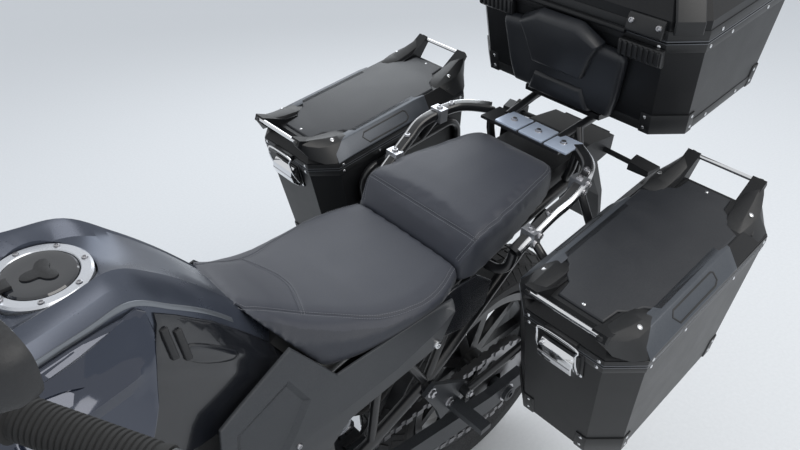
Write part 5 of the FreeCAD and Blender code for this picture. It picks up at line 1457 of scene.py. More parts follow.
@dataclass
class Pad:
    """One seat as a stuffed cover: a blown-up shape, a sewn groove and stitches beside it."""

    name: str
    node: str
    stations: tuple[tuple[float, ...], ...]
    cut_joint: bool = False
    voxel: float = 5.0
    pressure: float = 4.0
    swell: float = 5.0
    groove: float = 1.6
    inset: float = 1.6
    tuck: float = 0.0

    def section(self, row: Sequence[float]) -> list[Flat]:
        """Gives half a cross-section from the middle below to the middle of the top.

        Args:
            row: Station x, half width of the top, its height, half width of the skirt, the skirt's foot
                and the crown.

        Returns:
            Pairs of distance from the middle and height.
        """
        x, wide, top, skirt, foot, crown = row
        base = min(104.0, skirt - 16)
        i = self.inset
        tuck = self.tuck
        return [
            (0, seat_floor(x) + 1.5), (base - i, seat_floor(x) + 1.5),
            (skirt - 14 - i - tuck * 0.4, foot + i - tuck), (skirt - i - tuck, foot + i - tuck),
            (skirt - i - tuck * 0.3, foot + 8),
            (wide + (skirt - wide) * 0.86 - i, top + (foot - top) * 0.45),
            (wide + (skirt - wide) * 0.42 - i, top - 10), (wide - 1 - i, top - 2 - i),
            (wide * 0.8, top - i + crown * 0.3), (wide * 0.5, top - i + crown * 0.75),
            (wide * 0.22, top - i + crown), (0, top - i + crown)
        ]

    def shape(self) -> Piece:
        """Draws the closed shape before it is stuffed."""
        form = Form(self.name)
        rings = []
        for row in curve_through(self.stations, 8):
            half = self.section(row)
            left = [(row[0], y, z) for y, z in half]
            right = [(row[0], -y, z) for y, z in reversed(half[1:-1])]
            rings.append(left + right)
        form.skin(rings)
        piece = new_object(self.name, form.to_mesh())
        if self.cut_joint:
            cut_away(piece, joint_block())
        return piece

    def limits(self, at: Vector) -> float:
        """Gives how freely a point may swell, from 0 at the base to 1 on top."""
        x, _, z = STAND.inverted() @ at
        lift = min(1.0, max(0.0, (z - seat_floor(x) - 48) / 45))
        if self.cut_joint:
            ahead = Vector((math.sin(JOINT_SLOPE), 0, -math.cos(JOINT_SLOPE)))
            lift *= min(1.0, max(0.0, -(Vector((x, 0, z)) - Vector(JOINT)).dot(ahead) / 30))
            lift *= min(1.0, max(0.0, (x - 243) / 14))
        else:
            lift *= min(1.0, max(0.0, (239 - x) / 14))
        return lift

    def stuff(self, piece: Piece) -> None:
        """Remeshes the shape and blows it up with cloth pressure, each point up to its cap."""
        remesh = piece.modifiers.new("remesh", "REMESH")
        remesh.mode = "VOXEL"
        remesh.voxel_size = self.voxel * MM
        remesh.use_smooth_shade = True
        apply_all(piece)
        before = [v.co.copy() for v in piece.data.vertices]
        cloth = piece.modifiers.new("cloth", "CLOTH")
        cloth.settings.use_pressure = True
        cloth.settings.uniform_pressure_force = self.pressure
        cloth.settings.effector_weights.gravity = 0.0
        cloth.settings.quality = 4
        cloth.settings.tension_stiffness = 12
        cloth.settings.bending_stiffness = 4
        cloth.point_cache.frame_start = 1
        cloth.point_cache.frame_end = BLOW_FRAMES
        for frame in range(1, BLOW_FRAMES + 1):
            bpy.context.scene.frame_set(frame)
        graph = bpy.context.evaluated_depsgraph_get()
        blown = [v.co.copy() for v in piece.evaluated_get(graph).data.vertices]
        piece.modifiers.clear()
        bpy.context.scene.frame_set(1)
        for vertex, old, new in zip(piece.data.vertices, before, blown):
            move = new - old
            cap = self.swell * MM * self.limits(old)
            if move.length > cap:
                move = move.normalized() * cap if cap > 0 else Vector()
            vertex.co = old + move
        smoother = piece.modifiers.new("even", "SMOOTH")
        smoother.factor = 0.5
        smoother.iterations = 3
        divided = piece.modifiers.new("fine", "SUBSURF")
        divided.levels = 1
        divided.render_levels = 1
        apply_all(piece)

    def sew(
        self, piece: Piece, seams: Sequence[Sequence[Point]], rows: Sequence[float]
    ) -> list[list[Vector]]:
        """Presses a groove along each seam.

        Args:
            piece: The stuffed piece.
            seams: Rough points of the seams.
            rows: How far the stitch rows lie from the seam, in millimetres.

        Returns:
            The lines that the stitches follow, on the surface.
        """
        mesh = piece.data
        tree = BVHTree.FromPolygons(
            [v.co for v in mesh.vertices], [tuple(p.vertices) for p in mesh.polygons]
        )
        lines = [
            [tree.find_nearest(STAND @ Vector(p))[:2] for p in curve_through(seam, 10)] for seam in seams
        ]
        width = GROOVE_WIDTH
        chain = [(a[0], b[0]) for line in lines for a, b in zip(line, line[1:])]
        boxes = [((a + b) / 2, (b - a).length / 2 + 4 * width, a, b) for a, b in chain]
        normals = {v.index: v.normal.copy() for v in mesh.vertices}
        for vertex in mesh.vertices:
            nearest = None
            for middle, reach, a, b in boxes:
                if (vertex.co - middle).length > reach:
                    continue
                span = b - a
                share = max(0.0, min(1.0, (vertex.co - a).dot(span) / max(span.length_squared, 1e-12)))
                gap = (vertex.co - (a + span * share)).length
                nearest = gap if nearest is None else min(nearest, gap)
            if nearest is not None and nearest < 4 * width:
                depth = self.groove * MM * math.exp(-((nearest / width) ** 2))
                vertex.co = vertex.co - normals[vertex.index] * depth
        mesh.update()
        stitches = []
        for line in lines:
            for offset in rows:
                row = []
                for i, (at, facing) in enumerate(line):
                    heading = (line[min(i + 1, len(line) - 1)][0] - line[max(i - 1, 0)][0]).normalized()
                    row.append(at + facing.cross(heading).normalized() * offset * MM - facing * 0.35 * MM)
                stitches.append(row)
        return stitches

    def build(self, seams: Sequence[Sequence[Point]], rows: Sequence[float], skirt_below: float) -> None:
        """Makes the pad, its skirt leather, darkened with painted shade, and its stitches.

        Args:
            seams: Rough points of the seams.
            rows: Distances of the stitch rows from the seam.
            skirt_below: How far under the top edge the coarser, shade-darkened leather starts.
        """
        piece = self.shape()
        self.stuff(piece)
        stitches = self.sew(piece, seams, rows)
        mesh = piece.data
        finished(piece, LEATHER, Body.CHASSIS, [self.node], sharp=60)
        mesh.materials.append(SHADED_SKIRT.material())
        # Faces low on the sides take the skirt leather, whose darker tone is painted shade.
        back = STAND.inverted()
        for face in mesh.polygons:
            x, y, z = back @ face.center
            wide, top = self.edge(x)
            if z < top - skirt_below and abs(y) > wide - 8:
                face.material_index = 1
        base = bpy.data.meshes.new(self.name + "_stitches")
        points: list[Vector] = []
        edges = []
        for row in stitches:
            edges += [(len(points) + i, len(points) + i + 1) for i in range(len(row) - 1)]
            points += row
        base.from_pydata(points, edges, [])
        stitch = Form("stitch", LOCAL)
        stitch.lathe((-1.7, 0, 0), (1, 0, 0), [(0, 0.25), (0.5, 0.6), (2.9, 0.6), (3.4, 0.25)], 6)
        run = Repeat.realised(base.name, base, Repeat.run(), stitch, THREAD, Pitch=STITCH_PITCH)
        finished(run, THREAD, Body.CHASSIS, [self.node])

    def edge(self, x: float) -> Flat:
        """Gives the half width and the height of the top edge at x."""
        return station_value(self.stations, x, 1), station_value(self.stations, x, 2)


@dataclass
class Seats:
    """The rider's dished seat and the passenger's stepped one."""

    rider: Pad = field(
        default_factory=lambda: Pad(
            "rider_pad", "rider_seat",
            (
                (242.5, 130, 847, 139, 806, 3), (300, 150, 842, 161, 808, 3), (360, 156, 842, 166, 810, 3),
                (430, 138, 848, 164, 810, 3), (500, 101, 868, 156, 811, 4), (560, 78, 896, 140, 822, 5),
                (620, 66, 937, 112, 850, 4), (666, 60, 967, 84, 900, 2)
            ),
            cut_joint=True, tuck=7.0
        )
    )
    pillion: Pad = field(
        default_factory=lambda: Pad(
            "pillion_pad", "pillion_seat",
            (
                (239.5, 124, 846, 138, 806, 0), (228, 132, 868, 142, 806, 2), (205, 140, 894, 147, 810, 4),
                (150, 138, 903, 144, 820, 5), (100, 132, 908, 140, 828, 5), (30, 120, 911, 126, 838, 5),
                (-40, 106, 912, 112, 848, 4), (-72, 92, 908, 98, 852, 2), (-81, 84, 898, 92, 854, 0)
            )
        )
    )

    def build(self) -> None:
        """Makes both seats with their seams."""
        rider_side = [
            (246, 131, 849), (300, 151, 844), (360, 157, 845), (430, 139, 851), (500, 102, 870),
            (560, 79, 898), (612, 68, 931), (640, 63, 950)
        ]
        nose = [(541, 86, 890), (530, 58, 890), (518, 28, 886), (514, 0, 884)]
        nose += [(x, -y, z) for x, y, z in reversed(nose[:-1])]
        mirrored = [(x, -y, z) for x, y, z in rider_side]
        self.rider.build([rider_side, mirrored, nose], (-3.0, 3.0), 14)
        back = [
            (236, 125, 852), (205, 140, 895), (150, 138, 904), (100, 132, 908), (30, 120, 911),
            (-40, 106, 912)
        ]
        corner = [(-66, 92, 910), (-80, 70, 908), (-82, 30, 908), (-82, 0, 908)]
        left = [*back, *corner]
        right = [(x, -y, z) for x, y, z in reversed(left[:-1])]
        front = [(210, y, 892) for y in (139, 100, 50, 0, -50, -100, -139)]
        self.pillion.build([[*left, *right], front], (-3.0, 3.0), 12)


# Luggage


Level = tuple[float, float, float, float]
QUARTERS = ((1, 1), (1, -1), (-1, 1), (-1, -1))
RIVET_SIZE = 3.6
HOOP_INSIDE = -0.6


def case_ring(
    length: float, width: float, corner: float, z: float, x: float = 0.0, y: float = 0.0
) -> list[Point]:
    """Gives the outline of a case with cut corners at a height.

    Args:
        length: Its length.
        width: Its width.
        corner: The cut of its corners.
        z: The height.
        x: The middle along.
        y: The middle across.

    Returns:
        The eight corners.
    """
    return [(px + x, py + y, z) for px, py in reversed(lozenge(length, width, corner))]


def quarter_run(level: Level, middle: Flat, way: tuple[int, int], out: float) -> list[Flat]:
    """Gives four points round one corner of a case.

    Args:
        level: Length, width, corner and height of the case there.
        middle: The middle of the case.
        way: The signs of the corner along and across.
        out: How far the points stand off the case.

    Returns:
        The points, along and across.
    """
    a, b, c = level[0] / 2 + out, level[1] / 2 + out, level[2] + out * 0.4
    run = [(a, b - c - 22), (a, b - c), (a - c, b), (a - c - 22, b)]
    return [(way[0] * x + middle[0], way[1] * y + middle[1]) for x, y in run]


class Case:
    """What the side cases and the top case share: named forms, hoops and corner guards."""

    length: float
    width: float
    corner: float
    tag: str
    place: Matrix
    lid_body: Body
    middle: float

    def form(self, name: str) -> Form:
        """Starts a form in the case's frame."""
        return Form(name + self.tag, self.place)

    def lid_levels(self, *heights: float) -> list[Level]:
        """Gives the lid's outline at heights over the seam."""
        return [(self.length, self.width, self.corner, z) for z in heights]

    def hoop(
        self, name: str, levels: Sequence[Level], finish: Finish, proud: float, bevel: float, y: float
    ) -> None:
        """Builds a hoop that lies round the shell, or round the lid where its name says so.

        Args:
            name: Its name.
            levels: Length, width, corner and height of each edge, from the top down.
            finish: What it is made of.
            proud: How far it stands out.
            bevel: Width of its rounded edges.
            y: The case's middle across.
        """
        form = self.form(name)
        outer = [(a + 2 * proud, b + 2 * proud, c + proud * 0.5, z) for a, b, c, z in levels]
        inner = [(a + HOOP_INSIDE, b + HOOP_INSIDE, c, z) for a, b, c, z in reversed(levels)]
        form.skin([case_ring(*level, self.middle, y) for level in (*outer, *inner)], loop=True)
        form.build(finish, self.lid_body if "lid" in name else Body.CHASSIS, bevel=bevel)

    def corner_guards(
        self, name: str, low: Level, high: Level, middles: tuple[Flat, Flat], out: float
    ) -> None:
        """Builds the plastic guards on the bottom corners.

        Args:
            name: Their name.
            low: The case's level at their foot.
            high: The level at their top.
            middles: The middle of the case at both levels.
            out: How far they stand off the case.
        """
        guards = self.form(name)
        for way in QUARTERS:
            walls = []
            for off in (-0.4, out):
                foot = [(*p, low[3] - 1.6) for p in quarter_run(low, middles[0], way, off)]
                head = [(*p, high[3]) for p in quarter_run(high, middles[1], way, off)]
                walls.append([[foot[i], foot[i + 1], head[i + 1], head[i]] for i in range(3)])
            for inner, block in zip(*walls):
                guards.skin([inner, block])
        guards.build(CASE_TRIM, bevel=0.8)


@dataclass
class SideCase(Case):
    """One side case: its seam hoops, lid panel, horns, rods, insert, latch, corner guards and rivets."""

    side: int
    length: float = 473.0
    width: float = 242.0
    depth: float = 290.0
    corner: float = 46.0
    draft: float = 33.0
    side_draft: float = 15.0
    lid_height: float = 42.0
    rod_radius: float = 4.5
    middle: float = 0.0
    horn_sections: tuple[tuple[float, tuple[Flat, ...]], ...] = (
        (128, ((64, 41), (64, 42.5), (88, 42.5), (94, 42), (99, 37), (80, 38))),
        (160, ((56, 41), (58, 49), (84, 51), (98, 45), (120, 17), (80, 30))),
        (190, ((52, 41), (56, 55), (80, 58), (98, 47), (122, 14), (80, 30))),
        (212, ((50, 41), (56, 60), (76, 64), (91, 51), (106, 15), (76, 30))),
        (233, ((56, 50), (58, 67), (73, 70), (82, 60), (84, 28), (66, 40))),
        (252, ((60, 65), (61, 75), (68, 76), (70, 73), (70, 65), (64, 63)))
    )

    @property
    def tag(self) -> str:
        """Names the side."""
        return "_left" if self.side > 0 else "_right"

    @property
    def place(self) -> Matrix:
        """Gives the case's frame, mirrored on the right."""
        frame = tilted(12, self.side * 361, 872, 7)
        return frame if self.side > 0 else frame @ Matrix.Scale(-1, 4, Vector((0, 1, 0)))

    @property
    def lid_body(self) -> Body:
        """Names the lid's body."""
        return Body.LEFT_LID if self.side > 0 else Body.RIGHT_LID

    def build(self) -> None:
        """Makes every piece of the case."""
        self.hoops()
        self.lid_panel()
        self.horns()
        self.insert()
        self.latch()
        self.guards()
        self.rivets()

    def level(self, z: float) -> Level:
        """Gives length, width, corner and height at a height under the seam."""
        share = -z / self.depth
        return self.length - 2 * self.draft * share, self.width - self.side_draft * share, self.corner, z

    def shift(self, z: float) -> float:
        """Gives how far the middle lies from the seam's middle at a height under it."""
        return self.side_draft * z / self.depth / 2

    def hoops(self) -> None:
        """Draws the two seam hoops, each with a pale line of painted highlight along the seam's edge."""
        y = self.shift(-1.0)
        self.hoop("case_seam_shell", [self.level(-1.0), self.level(-17.0)], CASE_TRIM, 1.6, 1.0, y)
        self.hoop("case_seam_line", [self.level(-1.2), self.level(-3.2)], SEAM_HIGHLIGHT, 2.1, 0.3, y)
        self.hoop("case_lid_seam_line", self.lid_levels(4.0, 1.8), SEAM_HIGHLIGHT, 2.1, 0.3, 0)
        self.hoop("case_seam_lid", self.lid_levels(13.0, 1.0), CASE_TRIM, 1.6, 1.0, 0)

    def lid_panel(self) -> None:
        """Draws the low plateau on the lid's top, notched beside the horns."""
        top = self.lid_height
        corner = [(200.0, 42.0), (166.0, 46.0), (154.0, 62.0), (132.0, 70.0), (118.0, 93.0)]
        half = corner + [(-x, y) for x, y in reversed(corner)]
        outline = half + [(x, -y) for x, y in reversed(half)]
        panel = self.form("case_lid_panel")
        steps = ((-0.5, 0.0), (1.4, 0.0), (3.6, 2.4))
        panel.skin([[(x, y, top + z) for x, y in inset(outline, shrink)] for z, shrink in steps])
        panel.build(CASE_LID, self.lid_body, bevel=0.5)

    def horns(self) -> None:
        """Draws the four faceted lid horns and the chrome rods between them."""
        horns = self.form("case_horns")
        ridge = self.form("case_horn_ridges")
        ridge_line = ((246, 68, 65.5), (214, 85, 50.0), (172, 100, 37.5), (150, 108, 31))
        for sx, sy in QUARTERS:
            horns.skin([[(sx * x, sy * y, z) for y, z in section] for x, section in self.horn_sections])
            line = [(sx * x, sy * y, z) for x, y, z in ridge_line]
            ridge.sweep(line, [(-3.5, -2), (0, 2.2), (3.5, -2)], up=(0, sy * 0.7, 0.7))
        horns.build(CASE_TRIM, self.lid_body, bevel=1.6, sharp=24)
        ridge.build(CASE_TRIM, self.lid_body, bevel=0.6)
        rods = self.form("case_rods")
        for way in (1, -1):
            x = way * (self.length / 2 + 10)
            rods.rod((x, -64, 70), (x, 64, 70), self.rod_radius, 16)
        rods.build(CHROME, self.lid_body)

    def insert(self) -> None:
        """Draws the gun-metal plates on the lid's two long slopes, each with a bare badge field."""
        b = self.width / 2
        c = b - 25.0
        top = self.lid_height
        lines = [(b + 2.2, 15.0), (b + 2.4, 17.5), (c + 2.0, top + 3.6)]
        lines += [(c - 17, top + 3.6), (c - 17, top), (c, top), (b, 15.0)]
        plate = self.form("case_insert")
        frame = self.form("case_insert_frame")
        badge = self.form("case_badge_field")
        for sy in (1, -1):
            rings = []
            for x, share in ((-86, 0.0), (-62, 1.0), (150, 1.0), (182, 0.0)):
                spread = 0 if share else 0.3
                drop = 0 if share else 2.2
                rings.append([(x + (y - c) * spread, sy * y, z - drop) for y, z in lines])
            plate.skin(rings)
            slope = Vector((0, sy * (b - c), 15.0 - top)).normalized()
            out = Vector((0, -slope.z * sy, abs(slope.y)))
            middle = Vector((44, sy * ((b + c) / 2 + 1.4), (15.0 + top) / 2 + 1.4)) + out * 0.6
            outline = [(-62, -8), (-56, -12), (58, -12), (66, -4), (56, 12), (-52, 12), (-62, 6)]
            line = [middle + Vector((u, 0, 0)) + slope * v for u, v in outline]
            ring = [middle + Vector((u * 0.94, 0, 0)) + slope * (v * 0.86) for u, v in outline]
            frame.sweep([*line, line[0]], [(-2.6, -1), (-1.4, 2.0), (1.4, 2.0), (2.6, -1)], up=tuple(out))
            badge.skin([[p - out * 1.0 for p in ring], [p + out * 0.5 for p in ring]])
        plate.build(INSERT, self.lid_body, bevel=1.6)
        frame.build(CASE_TRIM, self.lid_body, bevel=0.5)
        badge.build(INSERT, self.lid_body, bevel=0.4)

    def latch(self) -> None:
        """Draws the latch: dark bracket, chrome lever box, wire bail and keeper."""
        end = self.length / 2
        lean = self.draft / self.depth

        def face(z: float) -> float:
            """Gives where the case's end stands at a height."""
            return end + lean * z

        bracket = self.form("case_latch_bracket")
        for half, low, high, out in ((43, -66, -4, 3.0), (37, -62, -10, 6.0)):
            corners = ((-half, low), (half, low), (half, high), (-half, high))
            bracket.skin([[(face(z) + o, y, z) for y, z in corners] for o in (0.4, out)])
        bracket.build(CASE_TRIM, replaces=["side_case_latches"], bevel=1.4)
        lever = self.form("case_latch_lever")
        profile = ((9, -13), (19, -21), (23, -33), (21, -50), (11, -63), (5, -65), (5, -13))
        lever.skin([[(face(z) + out, y, z) for out, z in profile] for y in (-33.0, 33.0)])
        lever.build(CHROME, bevel=1.8, segments=3, sharp=24)
        edge = self.form("case_latch_edge")
        edge.rod((face(-33) + 21.5, -31, -33), (face(-33) + 21.5, 31, -33), 2.2, 10)
        edge.build(STEEL)
        bail = self.form("case_latch_bail")
        line = [
            (face(-52) + 8, 37, -52), (face(-20) + 17, 37, -20), (face(0) + 19, 36, 6),
            (face(0) + 15, 33, 16)
        ]
        line += [(x, -y, z) for x, y, z in reversed(line)]
        bail.tube(curve_through(line, 4), 2.0, 10)
        bail.build(CHROME)
        keeper = self.form("case_latch_keeper")
        outline = ((-2, 3), (11, 4), (13, 9), (8, 17), (-4, 14))
        keeper.prism([(end + x, z) for x, z in outline], Axis.ACROSS, -30, 30)
        keeper.build(CASE_TRIM, self.lid_body, bevel=1.2)

    def guards(self) -> None:
        """Draws the plastic guards on the bottom corners."""
        low, high = -self.depth, -self.depth + 46
        middles = ((0.0, self.shift(low)), (0.0, self.shift(high)))
        self.corner_guards("case_guards", self.level(low), self.level(high), middles, 2.2)

    def rivets(self) -> None:
        """Adds the rivets of the shell and of the lid."""
        shell = Fasteners("case_rivets" + self.tag, Head.RIVET, RIVET_SIZE, BRIGHT, self.place)
        for z in (-9.0, -self.depth + 12, -self.depth + 38):
            a, b, c, _ = self.level(z)
            y = self.shift(z)
            out = 2.4 if z > -20 else 2.0
            half_l, half_w = a / 2, b / 2
            inner = (-half_l / 3, half_l / 3) if z > -20 else ()
            for x in (-half_l + c + 10, *inner, half_l - c - 10):
                shell.put((x, half_w + y + out, z), (0, 1, 0))
                shell.put((x, -half_w + y - out, z), (0, -1, 0))
            for v in (-half_w + c + 10, half_w - c - 10):
                shell.put((half_l + out, v + y, z), (1, 0, 0))
                shell.put((-half_l - out, v + y, z), (-1, 0, 0))
        end = self.length / 2
        lean = self.draft / self.depth
        for sy in (1, -1):
            shell.put((end - lean * 60 + 3.4, sy * 39.5, -60), (1, 0, 0))
        shell.build()
        lid = Fasteners(
            "case_lid_rivets" + self.tag, Head.RIVET, RIVET_SIZE, BRIGHT, self.place, self.lid_body
        )
        horn = Fasteners("case_horn_rivets" + self.tag, Head.RIVET, 4.6, BRIGHT, self.place, self.lid_body)
        for sx in (1, -1):
            for sy in (1, -1):
                horn.put((sx * 176, sy * 89, 51.6), (0, sy * 0.45, 1))
                lid.put((sx * (end - self.corner - 12), sy * (self.width / 2 + 2.0), 7), (0, sy, 0))
                lid.put((sx * (end + 2.0), sy * (self.width / 2 - self.corner - 8), 7), (sx, 0, 0))
            lid.put((sx * 190, 0, self.lid_height + 3.0), (0, 0, 1))
        lid.build()
        horn.build()


@dataclass
class TopCase(Case):
    """The top case: seam hoops, corner guards, hinge cover, backrest and rivets."""

    tag: str = ""
    lid_body: Body = Body.TOP_LID
    middle: float = -215.0
    length: float = 430.0
    width: float = 520.0
    depth: float = 205.0
    corner: float = 50.0
    lid_height: float = 104.0

    @property
    def place(self) -> Matrix:
        """Gives the case's frame."""
        return tilted(-170, 0, 1176, 6)

    def build(self) -> None:
        """Makes every piece of the case."""
        self.hoops()
        self.lid_panel()
        self.lid_corners()
        self.guards()
        self.hinge_cover()
        self.backrest()
        self.rivets()

    def level(self, z: float) -> Level:
        """Gives length, width, corner and height at a height under the seam."""
        share = -z / self.depth
        return self.length - 60 * share, self.width - 20 * share, self.corner, z

    def hoops(self) -> None:
        """Draws the seam hoops of shell and lid, their pale lines of painted highlight, and the band round
        the foot.
        """
        foot = [self.level(-self.depth + 22), self.level(-self.depth + 1)]
        self.hoop("top_seam_shell", [self.level(-1.0), self.level(-20.0)], CASE_TRIM, 1.6, 1.0, 0)
        self.hoop("top_seam_line", [self.level(-1.2), self.level(-3.4)], SEAM_HIGHLIGHT, 2.1, 0.3, 0)
        self.hoop("top_lid_seam_line", self.lid_levels(4.2, 1.8), SEAM_HIGHLIGHT, 2.1, 0.3, 0)
        self.hoop("top_foot_band", foot, CASE_TRIM, 1.4, 0.8, 0)
        self.hoop("top_seam_lid", self.lid_levels(22.0, 1.0), CASE_TRIM, 1.6, 1.0, 0)

    def lid_panel(self) -> None:
        """Draws the raised panel on the lid with its three ribs."""
        panel = self.form("top_lid_panel")
        top = self.lid_height
        half_l, half_w, cut = (self.length - 110) / 2, (self.width - 110) / 2, 30.0
        rings = []
        for z, shrink in ((top - 0.5, 0.0), (top + 2.0, 0.0), (top + 4.0, 4.0)):
            rings.append(case_ring(2 * (half_l - shrink), 2 * (half_w - shrink), cut, z, self.middle))
        panel.skin(rings)
        for y in (-120, 0, 120):
            panel.box((self.middle - 120, y - 9, top + 3.0), (self.middle + 120, y + 9, top + 6.0))
        panel.build(CASE_LID, Body.TOP_LID, bevel=1.4)

    def lid_corners(self) -> None:
        """Draws plastic straps over the four slanted corners of the lid."""
        straps = self.form("top_lid_straps")
        top = self.lid_height
        reach = ((201, 238, 20), (201, 238, 42), (162, 202, top + 1), (115, 176, top + 3))
        for sx, sy in QUARTERS:
            line = [(self.middle + sx * x, sy * y, z) for x, y, z in reach]
            straps.sweep(line, lozenge(52, 7, 2.5), up=(sx * 0.5, sy * 0.5, 0.7))
        straps.build(CASE_TRIM, Body.TOP_LID, bevel=1.2)

    def guards(self) -> None:
        """Draws guards on the bottom corners."""
        middle = (self.middle, 0.0)
        low, high = self.level(-self.depth), self.level(-self.depth + 44)
        self.corner_guards("top_guards", low, high, (middle, middle), 2.6)

    def hinge_cover(self) -> None:
        """Draws the ribbed hinge covers beside the backrest: plates on the lid, upright ribs on the shell."""
        screws = Fasteners("hinge_screws", Head.BUTTON, 6.0, STEEL, self.place, Body.TOP_LID)
        plate_outline = [(-1, 5), (12, 5), (14, 9), (8, 34), (4, 38), (-1, 38)]
        back_outline = [(0.5, -13), (11, -13), (13, -16), (11, -42), (5, -48), (-5, -48)]
        rib_outline = [(8, -14), (15.5, -15), (16, -19), (13.5, -42), (8, -45)]
        for side, tag in ((1, "left"), (-1, "right")):
            middle = side * 168.0
            plate = self.form(f"hinge_plate_{tag}")
            plate.prism(plate_outline, Axis.ACROSS, middle - 36, middle + 36)
            plate.build(CASE_TRIM, Body.TOP_LID, bevel=1.4)
            for step in (-27, 27):
                screws.put((9.4, middle + step, 26), (1, 0, 0.25))
            ribs = self.form(f"hinge_ribs_{tag}")
            ribs.prism(back_outline, Axis.ACROSS, middle - 44, middle + 44)
            for rib in range(8):
                y = middle + (rib - 3.5) * 11.0
                ribs.prism(rib_outline, Axis.ACROSS, y - 2.6, y + 2.6)
            ribs.build(CASE_TRIM, bevel=1.0)
        screws.build()

    def backrest(self) -> None:
        """Draws the moulded pad: side shoulders, a raised angular field on top and a lip at the foot."""
        tilt = math.atan2(30, self.depth)
        place = self.place @ Matrix.Translation((1.2, 0, 0)) @ Matrix.Rotation(tilt, 4, "Y")
        half = [
            (66.0, -20.0), (84.0, -40.0), (140.0, -44.0), (144.0, -56.0), (132.0, -150.0), (120.0, -196.0)
        ]
        body = dense(half + [(-y, z) for y, z in reversed(half)], 11.0)
        form = Form("backrest_pad", place)
        way = -1.0 if clockwise(body) else 1.0
        steps = ((0.0, 1.0), (3.0, 0.0), (13.0, 0.0), (19.0, 3.0), (22.0, 8.0), (23.0, 20.0), (23.2, 34.0))
        form.skin([[(out, y, z) for y, z in inset(body, shrink * way)] for out, shrink in steps])
        piece = form.build(PAD, replaces=["top_case_backrest"], bevel=1.0, subdivide=2, sharp=60)
        for name, half, high in (
            ("backrest_field", [(46.0, -8.0), (92.0, -34.0), (78.0, -66.0), (60.0, -119.0)], 37.0),
            ("backrest_lip", [(58.0, -146.0), (66.0, -168.0), (76.0, -195.0)], 31.0)
        ):
            outline = half + [(-y, z) for y, z in reversed(half)]
            way = -1.0 if clockwise(outline) else 1.0
            raised = Form(name, place)
            steps = ((8.0, -3.0), (high - 9.0, 0.0), (high - 4.0, 1.6), (high - 1.2, 4.6), (high, 9.0))
            raised.skin([[(out, y, z) for y, z in inset(outline, shrink * way)] for out, shrink in steps])
            raised.build(PAD, bevel=1.2)

    def rivets(self) -> None:
        """Adds the rivets of the shell and the lid."""
        shell = Fasteners("top_rivets", Head.RIVET, 3.8, BRIGHT, self.place)
        for z in (-11.0, -self.depth + 11.0, -self.depth + 36.0):
            a, b, c, _ = self.level(z)
            half_l, half_w = a / 2, b / 2
            xs = [half_l - c - 12, c + 12 - half_l]
            if z != -self.depth + 36.0:
                xs += [half_l / 3, -half_l / 3]
            for x in xs:
                for sy in (1, -1):
                    shell.put((x - self.length / 2, sy * (half_w + 2.2), z), (0, sy, 0))
            for y in (half_w - c - 12, c + 12 - half_w):
                shell.put((half_l - self.length / 2 + 2.2, y, z), (1, 0, 0))
                shell.put((-half_l - self.length / 2 - 2.2, y, z), (-1, 0, 0))
        shell.build()
        lid = Fasteners("top_lid_rivets", Head.RIVET, 3.8, BRIGHT, self.place, Body.TOP_LID)
        for sx, sy in QUARTERS:
            lid.put((sx * 120 - self.length / 2, sy * (self.width / 2 + 2.2), 11), (0, sy, 0))
            lid.put((sx * (self.length / 2 + 2.2) - self.length / 2, sy * 175, 11), (sx, 0, 0))
        lid.build()


@dataclass
class Carrier:
    """Grab rails with their bright top, the carrier's bolts, clamps and rack bolts."""

    route: tuple[Point, ...] = (
        (137, 174, 846), (60, 184, 893), (5, 190, 918), (-76, 168, 935), (-122, 112, 938)
    )

    def build(self) -> None:
        """Makes the rails and their fittings."""
        line = curve_through(self.route, 8)
        rail = Form("grab_rail")
        section = [(12, 6), (8.5, 10), (-8.5, 10), (-12, 6), (-12, -6), (-8.5, -10), (8.5, -10), (12, -6)]
        rail.sweep(line, section, up=(0, 0, 1))
        foot = curve_through([(137, 174, 846), (142, 170, 815), (148, 150, 799), (150, 116, 797)], 5)
        rail.tube(foot, 9.5, 14)
        rail.tube([(-122, 113, 938), (-122, 108, 892), (-122, 99, 860)], 9, 14)
        rail.mirrored()
        rail.build(FRAME, replaces=["grab_rails"], bevel=0.8)
        strip = Form("grab_rail_strip")
        ribbon = ((3.5, 9.6), (7.8, 10.6), (12.6, 6.6), (12.0, 0.5), (8.0, 6.0))
        rings = []
        for before, at, after in zip(line, line[1:], line[2:]):
            way = (Vector(after) - Vector(before)).normalized()
            out = Vector((way.y, -way.x, 0)).normalized()
            out = out if out.y > 0 or out.x < -0.7 else -out
            up = way.cross(out)
            up = up if up.z > 0 else -up
            rings.append([Vector(at) + out * u + up * v for u, v in ribbon])
        strip.skin(rings)
        strip.mirrored()
        strip.build(BRIGHT, bevel=0.3)
        for number, (low, high) in enumerate(((-64, -8), (-2, 56), (62, 116))):
            plate = Form(f"carrier_plate_{number}")
            plate.box((-134, low, 941.4), (-74, high, 946.5))
            plate.build(RAIL_PLATE, bevel=1.6)
        bolts = Fasteners("rail_bolts", Head.BUTTON, 7.0, STEEL, STAND)
        bolts.put((60, 184, 903), (0, 0.1, 1), True)
        bolts.put((-60, 174, 943), (0.1, 0, 1), True)
        for x in (100.0, -30.0):
            y, z = (178.8, 868.6) if x > 0 else (180.5, 925.4)
            bolts.put((x - 6, y + 16.2, z + 6), (0, 1, 0), True)
            bolts.put((x + 6, y + 16.2, z - 6), (0, 1, 0), True)
            bolts.put((x, y, z + 15.2), (0, 0, 1), True)
        bolts.build()
        screws = Fasteners("carrier_screws", Head.HEX, 5.5, STEEL, STAND)
        for y in (-36, 27, 89):
            screws.put((-104, y, 946.2), (0, 0, 1))
        for x, y, z in ((215, 180.6, 528), (118, 240, 653), (-60, 240, 653)):
            screws.put((x, y, z), (0, 1, 0), True)
        screws.build()


# Rolling gear, controls and the rest of the machine


TYRE_STEPS = 120
SIDES = ((1, "left"), (-1, "right"))


